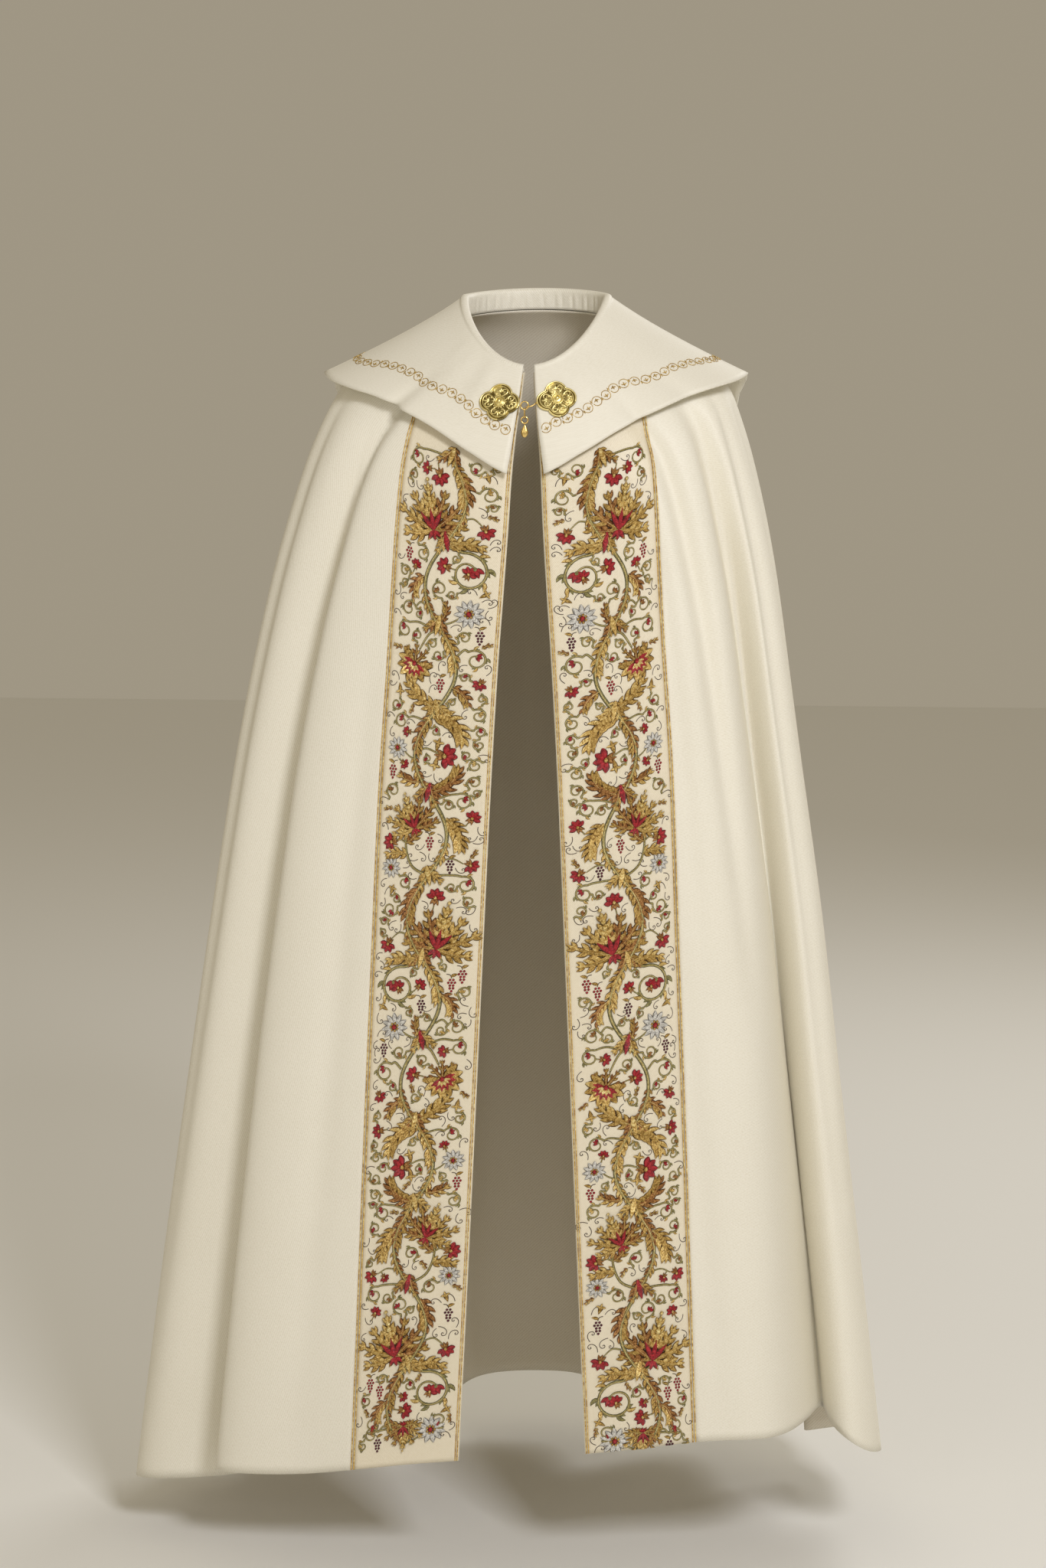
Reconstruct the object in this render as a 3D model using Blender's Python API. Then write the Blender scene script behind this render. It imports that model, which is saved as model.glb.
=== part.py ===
"""Cope vestment, worn open over the shoulders: mantle, front bands, cape collar, gold cords and clasp.

Run it with blender --background --python part.py, or from Blender's text editor.

Metres, +Z up. The front faces -Y and the wearer's left arm is at +X. The origin is where the cope is
held: on the middle line of the neck, level with the top of the shoulders beside it.

The cloth is drawn by two numbers. angle goes round the wearer in degrees, 0 at the front opening,
90 over the left arm, -90 over the right arm and 180 at the middle of the back. level goes down the
cloth through the rows of SECTIONS, 0 at the neck seam and the last row at the hem.
"""

import bisect
import functools
import math
from collections import namedtuple

import bmesh
import bpy
from mathutils import Matrix, Vector

# Cloth and seams
MANTLE_WALL = 0.0020
BAND_WALL = 0.0022
COLLAR_WALL = 0.0026
SEAM_GAP = 0.0003

# Grid of the walls
MANTLE_COLUMNS = 88
MANTLE_PANELS = ("mantle_right", "mantle_back_right", "mantle_back_left", "mantle_left")
BAND_COLUMNS = 5
COLLAR_COLUMNS = 46
WALL_LEVELS = (0, 0.5, 1, 1.5, 2, 2.5, 3, 3.5, 4, 4.5, 5, 5.6, 6.3, 7, 7.8, 8.6, 9.3, 10, 10.5, 11)

# Steps, in degrees round the cloth, over which its directions are measured
FACE_STEP = 0.002
CORD_STEP = 0.02
COLLAR_STEP = 0.05
SEAM_STEP = 0.5
HEM_SAMPLES = 720
HALVINGS = 30

# Gold cord couched on the seams and front edges
CORD_DIAMETER = 0.0038
CORD_INSET = 0.0028
CORD_POINTS = 40
CORD_TOP = 0.12
CORD_HEM = 0.004

# Collar
STAND_BACK = 0.024
STAND_FRONT = 0.007
ROLL_RADIUS = 0.0030
COLLAR_CLEARANCE = 0.0075
COLLAR_EDGE_TOP_X = 0.006
COLLAR_EDGE_LOW_X = 0.022
STAND_RISE = 1.9
STAND_RISE_POWER = 0.8
COLLAR_MIDDLE_SHARE = 0.2

# Clasp plates
PLATE_WALL = 0.0012
PLATE_RELIEF = 0.0026
BOSS_HEIGHT = 0.0022
BOSS_SHARE = 0.24
LOBE_NOTCH = 0.15
LOBE_ROUNDNESS = 0.8
TIP_SHARPNESS = 8
TIP_DROP = 0.3
PETAL_VALLEY = 0.55
RELIEF_PEAK_POWER = 0.7
RIM_SHARE = 0.99
PLATE_SPOKES = 48
PLATE_RINGS = 12
SEAT_MARGIN = 0.001
SEAT_TURNS = 12

# Eye, hook and tail of the clasp
EYE_X = -0.0025
EYE_Z = -0.1295
EYE_FORWARD = 0.0015
EYE_RADIUS = 0.0046
EYE_WIRE = 0.00085
HOOK_WIRE = 0.0008
LINK_WIRE = 0.0007
LINK_LENGTH = 0.0122
LINK_WIDTH = 0.0052
TAIL_RING_RADIUS = 0.0039
TAIL_RING_WIRE = 0.0009
LINK_PLAY = 0.00035
DROP_GAP = 0.0006
DROP_LENGTH = 0.0150
DROP_WIDTH = 0.0094
DROP_DEPTH = 0.0036
DROP_NECK = 0.55
DROP_SWELL_END = 0.55
DROP_SWELL_POWER = 1.2
DROP_SPOKES = 18
DROP_RINGS = 10
RING_SEGMENTS = 20
WIRE_SEGMENTS = 8

# One row for each level of the cloth, from the neck seam to the hem. side, front and back are heights
# at the arms, the opening and the middle of the back. right and left are half widths, front_depth and
# back_depth the reach from the middle, square the corner shape in plan (2 is an ellipse), fold the
# share of the full fold depth, and edge and seam where a front band begins and ends beside the middle.
# SLOPE_POWER shapes how the heights pass from the arms to the front and back.
Section = namedtuple(
    "Section", "name side front back right left front_depth back_depth square fold edge seam"
)
SLOPE_POWER = 1.5
SECTIONS = (
    Section("neck", -0.026, -0.092, -0.018, 0.083, 0.083, 0.100, 0.070, 2.0, 0.00, 0.005, 0.079),
    Section("trapezius", -0.045, -0.127, -0.043, 0.134, 0.133, 0.118, 0.098, 2.0, 0.00, 0.008, 0.110),
    Section("shoulder", -0.071, -0.167, -0.082, 0.192, 0.190, 0.131, 0.121, 2.1, 0.02, 0.013, 0.132),
    Section("shoulder_point", -0.106, -0.214, -0.128, 0.234, 0.228, 0.141, 0.137, 2.3, 0.07, 0.017, 0.145),
    Section("deltoid", -0.153, -0.270, -0.185, 0.262, 0.248, 0.149, 0.151, 2.4, 0.13, 0.020, 0.151),
    Section("upper_arm", -0.225, -0.345, -0.258, 0.289, 0.268, 0.156, 0.167, 2.4, 0.21, 0.025, 0.156),
    Section("elbow", -0.335, -0.445, -0.365, 0.320, 0.290, 0.162, 0.188, 2.4, 0.32, 0.032, 0.162),
    Section("waist", -0.505, -0.590, -0.525, 0.356, 0.314, 0.168, 0.216, 2.4, 0.45, 0.040, 0.172),
    Section("hip", -0.730, -0.790, -0.745, 0.393, 0.345, 0.176, 0.250, 2.4, 0.60, 0.049, 0.181),
    Section("thigh", -0.965, -0.995, -0.975, 0.428, 0.371, 0.184, 0.282, 2.4, 0.75, 0.058, 0.190),
    Section("shin", -1.200, -1.195, -1.210, 0.461, 0.398, 0.193, 0.312, 2.4, 0.88, 0.067, 0.198),
    Section("hem", -1.435, -1.385, -1.452, 0.491, 0.424, 0.202, 0.340, 2.4, 1.00, 0.076, 0.206),
)
LAST = len(SECTIONS) - 1

# Folds that run down from the shoulders, one row each. top, middle and hem are angles down the fold,
# width its half spread in degrees at the hem, depth how far it goes in there, and lean how far its
# bottom slides sideways, towards growing angles, under the cloth beside it. FOLD_TOP_WIDTH is the
# share of the width that is left at the neck.
FOLD_TOP_WIDTH = 0.55
Fold = namedtuple("Fold", "name top middle hem width depth lean")
FOLDS = (
    Fold("right_front", -57.0, -58.5, -59.0, 6.5, 0.090, 0.066),
    Fold("right_side", -99.0, -100.0, -101.0, 9.0, 0.080, -0.030),
    Fold("right_back", -131.0, -132.0, -133.0, 8.0, 0.095, 0.035),
    Fold("centre_back_right", -163.0, -162.0, -161.0, 7.5, 0.080, -0.030),
    Fold("centre_back_left", 168.0, 168.0, 167.0, 7.0, 0.090, 0.030),
    Fold("left_back", 142.0, 141.0, 140.0, 8.0, 0.085, -0.030),
    Fold("left_side", 113.0, 113.0, 113.0, 8.0, 0.085, -0.030),
    Fold("left_front", 54.0, 58.0, 53.0, 7.0, 0.080, 0.060),
)
# Soft swells of the broad cloth between the folds: where they lie, how wide and how far out at the hem.
Swell = namedtuple("Swell", "name angle width out")
SWELLS = (
    Swell("right_panel", -42.0, 10.0, 0.012),
    Swell("right_arm", -78.0, 11.0, 0.018),
    Swell("right_flank", -116.0, 9.0, 0.014),
    Swell("back_right", -147.0, 8.0, 0.012),
    Swell("back_middle", 180.0, 10.0, 0.010),
    Swell("back_left", 152.0, 8.0, 0.012),
    Swell("left_flank", 120.0, 9.0, 0.016),
    Swell("left_arm", 76.0, 11.0, 0.016),
    Swell("left_panel", 37.0, 8.0, 0.008),
)
# How far the hem hangs above (+) or below (-) its level round the wearer.
HemLift = namedtuple("HemLift", "angle lift")
HEM_LIFTS = (
    HemLift(-180, 0.000),
    HemLift(-120, -0.024),
    HemLift(-90, -0.038),
    HemLift(-66, -0.036),
    HemLift(-48, -0.020),
    HemLift(-28, -0.022),
    HemLift(-8, -0.004),
    HemLift(8, 0.012),
    HemLift(28, 0.034),
    HemLift(45, 0.044),
    HemLift(57, 0.048),
    HemLift(72, 0.024),
    HemLift(90, 0.018),
    HemLift(120, -0.004),
    HemLift(180, 0.000),
)
# Outer edge of the cape collar: its height, and how far it stands off the mantle, round one side.
CollarEdge = namedtuple("CollarEdge", "angle height stand_off")
COLLAR_EDGES = (
    CollarEdge(0, -0.214, 0.009),
    CollarEdge(15, -0.185, 0.010),
    CollarEdge(30, -0.157, 0.012),
    CollarEdge(45, -0.135, 0.016),
    CollarEdge(60, -0.117, 0.022),
    CollarEdge(75, -0.104, 0.029),
    CollarEdge(90, -0.095, 0.034),
    CollarEdge(100, -0.099, 0.034),
    CollarEdge(110, -0.116, 0.033),
    CollarEdge(123, -0.149, 0.031),
    CollarEdge(140, -0.180, 0.027),
    CollarEdge(160, -0.198, 0.022),
    CollarEdge(180, -0.204, 0.019),
)


def material(name, colour, roughness, metallic):
    """A plain material of one linear colour."""
    made = bpy.data.materials.new(name)
    made.use_nodes = True
    shader = made.node_tree.nodes["Principled BSDF"]
    shader.inputs["Base Color"].default_value = (*colour, 1.0)
    shader.inputs["Roughness"].default_value = roughness
    shader.inputs["Metallic"].default_value = metallic
    return made


def add_object(name, mesh, look):
    """Links a mesh as a named object of the cope, with its material."""
    made = bpy.data.objects.new(name, mesh)
    made.data.materials.append(look)
    bpy.data.collections["cope_vestment"].objects.link(made)
    return made


def make_wire(name, points, wire, look):
    """A bent wire with flat ends."""
    curve = bpy.data.curves.new(name, "CURVE")
    curve.dimensions = "3D"
    curve.bevel_depth = wire
    curve.bevel_resolution = 1
    curve.use_fill_caps = True
    spline = curve.splines.new("POLY")
    spline.points.add(len(points) - 1)
    for point, place in zip(spline.points, points):
        point.co = (*place, 1.0)
    curve.materials.append(look)
    made = bpy.data.objects.new(name, curve)
    bpy.data.collections["cope_vestment"].objects.link(made)
    return made


def along(values, position):
    """The value at a position between the items of a list, on a smooth curve through them."""
    low = max(0, min(len(values) - 2, int(math.floor(position))))
    share = position - low
    before = values[max(0, low - 1)]
    start, end = values[low], values[low + 1]
    after = values[min(len(values) - 1, low + 2)]
    pull_start = (end - before) / 2
    pull_end = (after - start) / 2
    cube, square = share**3, share**2
    return (
        (2 * cube - 3 * square + 1) * start
        + (cube - 2 * square + share) * pull_start
        + (3 * square - 2 * cube) * end
        + (cube - square) * pull_end
    )


def from_rows(rows, angle, column):
    """The value of a column at an angle, on a smooth curve through a table's rows."""
    angles = [row.angle for row in rows]
    low = max(0, min(len(rows) - 2, bisect.bisect_right(angles, angle) - 1))
    position = low + (angle - angles[low]) / (angles[low + 1] - angles[low])
    return along([getattr(row, column) for row in rows], position)


@functools.lru_cache(maxsize=None)
def section_at(level):
    """The row of sizes at any level between two rows."""
    return Section(
        "between", *(along([row[i] for row in SECTIONS], level) for i in range(1, len(Section._fields)))
    )


def wrapped(angle):
    """The same direction as an angle from -180 to 180."""
    return (angle + 180.0) % 360.0 - 180.0


def signed_power(value, power):
    """A power that keeps the sign."""
    return math.copysign(abs(value) ** power, value)


def plan_outward(x, y, half, depth, square):
    """The outward direction of the plan curve at a point of it."""
    across = signed_power(x / half, square - 1) / half
    front_back = signed_power(y / depth, square - 1) / depth
    return Vector((across, front_back, 0.0)).normalized()


def fold_angle(fold, level):
    """Where the bottom of a fold lies at a level."""
    share = level / LAST
    return (
        fold.top * (1 - share) * (1 - 2 * share)
        + fold.middle * 4 * share * (1 - share)
        + fold.hem * share * (2 * share - 1)
    )


def bell(angle, centre, width):
    """1 at the centre, falling smoothly to 0 on both sides."""
    return math.exp(-((wrapped(angle - centre) / width) ** 2))


def plan_point(angle, level):
    """The place in plan without folds, x and y, and straight out from it."""
    row = section_at(level)
    turn = math.radians(angle)
    sine, cosine = math.sin(turn), math.cos(turn)
    half = row.left if sine >= 0 else row.right
    depth = row.front_depth if cosine >= 0 else row.back_depth
    x = half * signed_power(sine, 2 / row.square)
    y = -depth * signed_power(cosine, 2 / row.square)
    return x, y, plan_outward(x, y, half, depth, row.square)


def body_point(angle, level):
    """A point of the mantle's outer face, folds included."""
    row = section_at(level)
    cosine = math.cos(math.radians(angle))
    x, y, outward = plan_point(angle, level)
    z = row.side
    z += (row.front - row.side) * max(0.0, cosine) ** SLOPE_POWER
    z += (row.back - row.side) * max(0.0, -cosine) ** SLOPE_POWER
    z += from_rows(HEM_LIFTS, wrapped(angle), "lift") * row.fold
    point = Vector((x, y, z))
    sideways = Vector((-outward.y, outward.x, 0.0))
    width_share = FOLD_TOP_WIDTH + (1 - FOLD_TOP_WIDTH) * level / LAST
    for fold in FOLDS:
        reach = row.fold * bell(angle, fold_angle(fold, level), fold.width * width_share)
        point += reach * (fold.lean * sideways - fold.depth * outward)
    for swell in SWELLS:
        point += row.fold * bell(angle, swell.angle, swell.width) * swell.out * outward
    return point


def angle_beside(distance, level, side):
    """The angle, without its sign, at which the cloth is a distance beside the middle."""
    row = section_at(level)
    half = row.left if side > 0 else row.right
    return math.degrees(math.asin(min(1.0, distance / half) ** (row.square / 2)))


def level_at_height(angle, height):
    """The level at which the cloth has a height, found by halving."""
    low, high = 0.0, float(LAST)
    for _ in range(HALVINGS):
        middle = (low + high) / 2
        if body_point(angle, middle).z > height:
            low = middle
        else:
            high = middle
    return (low + high) / 2


def outward_at(place, s, t, step=FACE_STEP):
    """The direction out of a face, from four points round one of it."""
    across = place(s + step, t) - place(s - step, t)
    down = place(s, t + step) - place(s, t - step)
    return across.cross(down).normalized()


def level_of(share):
    """The level of the cloth at a share of a wall's rows."""
    position = share * (len(WALL_LEVELS) - 1)
    low = max(0, min(len(WALL_LEVELS) - 2, int(position)))
    return WALL_LEVELS[low] + (WALL_LEVELS[low + 1] - WALL_LEVELS[low]) * (position - low)


def cloth_wall(name, columns, rows, place, thickness, look):
    """A closed wall of cloth. place gives its outer face from two shares, across and down."""
    made = bmesh.new()
    bmesh.ops.create_grid(made, x_segments=columns, y_segments=rows, size=0.5)
    inner = bmesh.ops.extrude_face_region(made, geom=list(made.faces))["geom"]
    inner_points = {item for item in inner if isinstance(item, bmesh.types.BMVert)}
    for point in made.verts:
        s, t = point.co.x + 0.5, 0.5 - point.co.y
        placed = place(s, t)
        if point in inner_points:
            placed = placed - outward_at(place, s, t) * thickness
        point.co = placed
    bmesh.ops.recalc_face_normals(made, faces=made.faces)
    mesh = bpy.data.meshes.new(name)
    made.to_mesh(mesh)
    made.free()
    mesh.shade_smooth()
    return add_object(name, mesh, look)


def even_shares(place_at_hem, count, samples=HEM_SAMPLES):
    """Shares that cut a curve into stretches of nearly equal length."""
    lengths = [0.0]
    last = place_at_hem(0.0)
    for i in range(1, samples + 1):
        point = place_at_hem(i / samples)
        lengths.append(lengths[-1] + (point - last).length)
        last = point
    shares = []
    for i in range(count + 1):
        wanted = lengths[-1] * i / count
        high = min(samples, max(1, bisect.bisect_left(lengths, wanted)))
        part = (wanted - lengths[high - 1]) / (lengths[high] - lengths[high - 1])
        shares.append((high - 1 + part) / samples)
    return shares


def seam_gap_angle(level):
    """The angle that a seam gap takes at the front of the cloth."""
    return math.degrees(SEAM_GAP / section_at(level).front_depth)


def mantle_angle(share, level):
    """Round the mantle from the seam of the right band, over the back, to the seam of the left one."""
    row = section_at(level)
    gap = seam_gap_angle(level)
    right = angle_beside(row.seam, level, -1) + gap
    left = angle_beside(row.seam, level, 1) + gap
    return -(right + (360.0 - right - left) * share)


@functools.lru_cache(maxsize=None)
def half_gap_angle(share, level):
    """The angle that half a seam gap takes at a share of the way round the mantle."""
    angle = mantle_angle(share, level)
    step = body_point(angle + SEAM_STEP, level) - body_point(angle - SEAM_STEP, level)
    return SEAM_GAP * SEAM_STEP / step.length


def make_panel(name, shares, is_first, is_last, look):
    """One panel of the mantle. shares are its columns, as shares of the way round the mantle."""
    columns = len(shares) - 1

    def place(s, t):
        position = s * columns
        low = max(0, min(columns - 1, int(position)))
        share = shares[low] + (shares[low + 1] - shares[low]) * (position - low)
        level = level_of(t)
        angle = mantle_angle(share, level)
        if not is_first:
            angle -= half_gap_angle(shares[0], level) * (1.0 - s)
        if not is_last:
            angle += half_gap_angle(shares[-1], level) * s
        return body_point(angle, level)

    return cloth_wall(name, columns, len(WALL_LEVELS) - 1, place, MANTLE_WALL, look)


def make_mantle(look):
    """The broad cloth from band to band round the back, in panels sewn at the sides and centre back."""

    def at_hem(share):
        return body_point(mantle_angle(share, LAST), LAST)

    shares = even_shares(at_hem, MANTLE_COLUMNS)
    columns = MANTLE_COLUMNS // len(MANTLE_PANELS)
    for i, name in enumerate(MANTLE_PANELS):
        is_last = i == len(MANTLE_PANELS) - 1
        make_panel(name, shares[i * columns : (i + 1) * columns + 1], i == 0, is_last, look)


def band_angle(side, across, level):
    """Across a front band, 0 at the front edge and 1 at the seam."""
    row = section_at(level)
    edge = angle_beside(row.edge, level, side)
    seam = angle_beside(row.seam, level, side)
    return side * (edge + (seam - edge) * across)


def make_band(side, look):
    """A front band, sewn to the mantle along its seam."""

    def place(s, t):
        across = 1.0 - s if side > 0 else s
        return body_point(band_angle(side, across, level_of(t)), level_of(t))

    name = "band_left" if side > 0 else "band_right"
    return cloth_wall(name, BAND_COLUMNS, len(WALL_LEVELS) - 1, place, BAND_WALL, look)


def make_cord(name, side, across_at, look):
    """A round gold cord that lies on a band, along its seam or just inside its front edge."""
    centre_height = CORD_DIAMETER / 2 + SEAM_GAP

    def place(s, t):
        return body_point(side * s, t)

    points = []
    for i in range(CORD_POINTS + 1):
        level = CORD_TOP + (LAST - CORD_TOP - CORD_HEM) * i / CORD_POINTS
        angle = band_angle(side, across_at(level), level)
        outward = side * outward_at(place, side * angle, level, CORD_STEP)
        if outward.y > 0:
            outward = -outward
        points.append(body_point(angle, level) + outward * centre_height)
    return make_wire(name, points, CORD_DIAMETER / 2, look)


def on_seam(_level):
    """The cord over the seam lies in the middle of it."""
    return 1.0


def on_edge(level):
    """The cord at the front edge lies a little inside it."""
    row = section_at(level)
    return CORD_INSET / (row.seam - row.edge)


@functools.lru_cache(maxsize=None)
def collar_level(angle):
    """The level of the mantle under the collar's outer edge at an angle."""
    return level_at_height(angle, from_rows(COLLAR_EDGES, abs(angle), "height"))


def stand_height(angle):
    """The stand is high at the back and sides of the neck and fades out towards the front."""
    share = (1 - math.cos(math.radians(abs(angle)))) / 2
    return STAND_FRONT + (STAND_BACK - STAND_FRONT) * min(1.0, STAND_RISE * share) ** STAND_RISE_POWER


COLLAR_ROWS = (
    ("stand", 0.0),
    ("stand", 0.5),
    ("stand", 1.0),
    ("roll", 0.33),
    ("roll", 0.67),
    ("roll", 1.0),
    ("fall", 0.08),
    ("fall", 0.22),
    ("fall", 0.38),
    ("fall", 0.54),
    ("fall", 0.70),
    ("fall", 0.86),
    ("fall", 1.0),
)


def collar_profile(side, back_share, part, share):
    """A point of the collar's underside. back_share is 0 at the front edge and 1 at the back."""
    top = angle_beside(COLLAR_EDGE_TOP_X, 0.0, side)
    top_angle = side * (top + (180.0 - top) * back_share)
    rim = body_point(top_angle, 0.0)
    out = plan_point(top_angle, 0.0)[-1]
    stand = stand_height(top_angle)
    up = Vector((0.0, 0.0, 1.0))
    roll_centre = rim + out * ROLL_RADIUS + up * (stand - ROLL_RADIUS)
    if part == "stand":
        low = 2 * SEAM_GAP
        return rim + up * (low + (stand - ROLL_RADIUS - low) * share)
    if part == "roll":
        turn = math.pi * (1.0 - share)
        return roll_centre + ROLL_RADIUS * (out * math.cos(turn) + up * math.sin(turn))
    start = roll_centre + out * ROLL_RADIUS
    edge_level = collar_level(side * 0.1)
    low_edge = angle_beside(COLLAR_EDGE_LOW_X, edge_level, side)
    low_angle = side * (low_edge + (180.0 - low_edge) * back_share)
    middle_angle = (1 - COLLAR_MIDDLE_SHARE) * top_angle + COLLAR_MIDDLE_SHARE * low_angle
    end_level = collar_level(low_angle)
    end = body_point(low_angle, end_level)
    end += plan_point(low_angle, end_level)[-1] * from_rows(COLLAR_EDGES, abs(low_angle), "stand_off")
    middle_level = end_level / 2
    outward = outward_at(body_point, middle_angle, middle_level, COLLAR_STEP)
    if outward.dot(plan_point(middle_angle, middle_level)[-1]) < 0:
        outward = -outward
    middle = body_point(middle_angle, middle_level) + outward * COLLAR_CLEARANCE
    control = 2 * middle - (start + end) / 2
    return (1 - share) ** 2 * start + 2 * share * (1 - share) * control + share**2 * end


def collar_place(s, t):
    """The collar's upper face, from the right front edge round the back to the left one."""
    position = t * (len(COLLAR_ROWS) - 1)
    low = max(0, min(len(COLLAR_ROWS) - 2, int(position)))
    side = -1 if s < 0.5 else 1
    back_share = 1.0 - abs(2.0 * s - 1.0)
    first = collar_profile(side, back_share, *COLLAR_ROWS[low])
    second = collar_profile(side, back_share, *COLLAR_ROWS[low + 1])
    return first.lerp(second, position - low)


def make_collar(look):
    """The cape collar: a stand inside the neck, a roll over it, and a wide fall on the shoulders."""
    return cloth_wall("collar", COLLAR_COLUMNS, len(COLLAR_ROWS) - 1, collar_place, -COLLAR_WALL, look)


# Where the middle of a clasp plate lies, how far it is turned anticlockwise, how wide and high it is
# and how much longer its lobe towards the opening is than the other three.
Plate = namedtuple("Plate", "name x z turn width height tip")
PLATES = (
    Plate("clasp_plate_right", -0.0322, -0.1262, -4.0, 0.0470, 0.0446, 0.00),
    Plate("clasp_plate_left", 0.0350, -0.1228, 9.0, 0.0440, 0.0440, 0.10),
)
# The hook's wire from the left plate's tip, in front of the eye's wire, through the eye and back. y is
# counted from the middle of the eye's wire.
HookPoint = namedtuple("HookPoint", "x y z")
HOOK_POINTS = (
    HookPoint(0.0095, -0.0008, -0.1278),
    HookPoint(0.0078, -0.0014, -0.1290),
    HookPoint(0.0056, -0.0021, -0.1301),
    HookPoint(0.0032, -0.0026, -0.1308),
    HookPoint(0.0012, -0.0025, -0.1310),
    HookPoint(-0.0001, -0.0013, -0.1310),
    HookPoint(-0.0003, 0.0004, -0.1310),
    HookPoint(0.0006, 0.0018, -0.1310),
    HookPoint(0.0024, 0.0024, -0.1310),
)


def lie_on(cloth, x, z, reach):
    """Where a flat piece lies on a cloth in front: its middle and its right, up and out directions."""

    def hit(across, up):
        return cloth.ray_cast((x + across, -1.0, z + up), (0.0, 1.0, 0.0))[1]

    middle = hit(0.0, 0.0)
    right = (hit(reach, 0.0) - hit(-reach, 0.0)).normalized()
    out = right.cross(hit(0.0, reach) - hit(0.0, -reach)).normalized()
    turns = [math.tau * i / SEAT_TURNS for i in range(SEAT_TURNS)]
    rise = max((hit(reach * math.cos(i), reach * math.sin(i)) - middle).dot(out) for i in turns)
    return middle + out * (max(0.0, rise) + 2 * SEAM_GAP), right, out.cross(right), out


def make_plate(plate, collar, look):
    """A cast plate of four lobes on the collar beside the opening. Returns its tip at the opening."""
    inward = -math.copysign(1.0, plate.x)
    middle, right, up, out = lie_on(collar, plate.x, plate.z, plate.height / 2 - SEAT_MARGIN)
    made = bmesh.new()
    bmesh.ops.create_uvsphere(made, u_segments=PLATE_SPOKES, v_segments=PLATE_RINGS, radius=1.0)
    for point in made.verts:
        flat = math.hypot(point.co.x, point.co.y)
        turn = math.atan2(point.co.y, point.co.x)
        share = math.asin(min(1.0, flat)) / (math.pi / 2)
        lobe = 1.0 - LOBE_NOTCH * (1.0 - abs(math.cos(2 * turn)) ** LOBE_ROUNDNESS)
        lobe += plate.tip * max(0.0, inward * math.cos(turn)) ** TIP_SHARPNESS
        across = share * lobe * math.cos(turn) * plate.width / 2
        along_up = share * lobe * math.sin(turn) * plate.height / 2
        height = 0.0
        if share > RIM_SHARE:
            height = PLATE_WALL / 2
        elif point.co.z > 0:
            petal = PETAL_VALLEY + (1 - PETAL_VALLEY) * abs(math.cos(2 * turn))
            height = PLATE_WALL + PLATE_RELIEF * petal * math.sin(math.pi * share**RELIEF_PEAK_POWER)
            height += BOSS_HEIGHT * max(0.0, 1.0 - share / BOSS_SHARE) ** 0.5
        tilt = math.radians(plate.turn)
        turned_x = across * math.cos(tilt) - along_up * math.sin(tilt)
        turned_z = across * math.sin(tilt) + along_up * math.cos(tilt)
        point.co = middle + right * turned_x + up * turned_z + out * height
    bmesh.ops.recalc_face_normals(made, faces=made.faces)
    tip = max(made.verts, key=lambda point: inward * point.co.x - TIP_DROP * point.co.z).co.copy()
    mesh = bpy.data.meshes.new(plate.name)
    made.to_mesh(mesh)
    made.free()
    add_object(plate.name, mesh, look)
    return tip


def make_ring(name, centre, radius, wire, turn, longer, look):
    """An upright ring of wire, turned about the vertical, its two halves drawn apart by a length."""
    bpy.ops.mesh.primitive_torus_add(
        major_segments=RING_SEGMENTS, minor_segments=WIRE_SEGMENTS, major_radius=radius, minor_radius=wire
    )
    made = bpy.context.object
    made.name = name
    upright = Matrix.Rotation(turn, 4, "Z") @ Matrix.Rotation(math.pi / 2, 4, "X")
    made.data.transform(upright)
    for point in made.data.vertices:
        point.co.z += math.copysign(longer / 2, point.co.z + wire / 100)
    made.location = centre
    made.data.materials.append(look)
    for holder in list(made.users_collection):
        holder.objects.unlink(made)
    bpy.data.collections["cope_vestment"].objects.link(made)
    return made


def move_origin(piece, pivot):
    """Puts a piece's origin on its joint without moving the piece."""
    piece.data.transform(Matrix.Translation(piece.location - pivot))
    piece.location = pivot


def make_drop(top, pivot, look):
    """The solid drop at the end of the clasp's tail."""
    made = bmesh.new()
    bmesh.ops.create_uvsphere(made, u_segments=DROP_SPOKES, v_segments=DROP_RINGS, radius=0.5)
    for point in made.verts:
        down = 0.5 - point.co.z
        slim = DROP_NECK + (1 - DROP_NECK) * min(1.0, down / DROP_SWELL_END) ** DROP_SWELL_POWER
        point.co.x *= DROP_WIDTH * slim
        point.co.y *= DROP_DEPTH * slim
        point.co.z = top.z - pivot.z - DROP_LENGTH * down
    mesh = bpy.data.meshes.new("tail_drop")
    made.to_mesh(mesh)
    made.free()
    add_object("tail_drop", mesh, look).location = pivot


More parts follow.
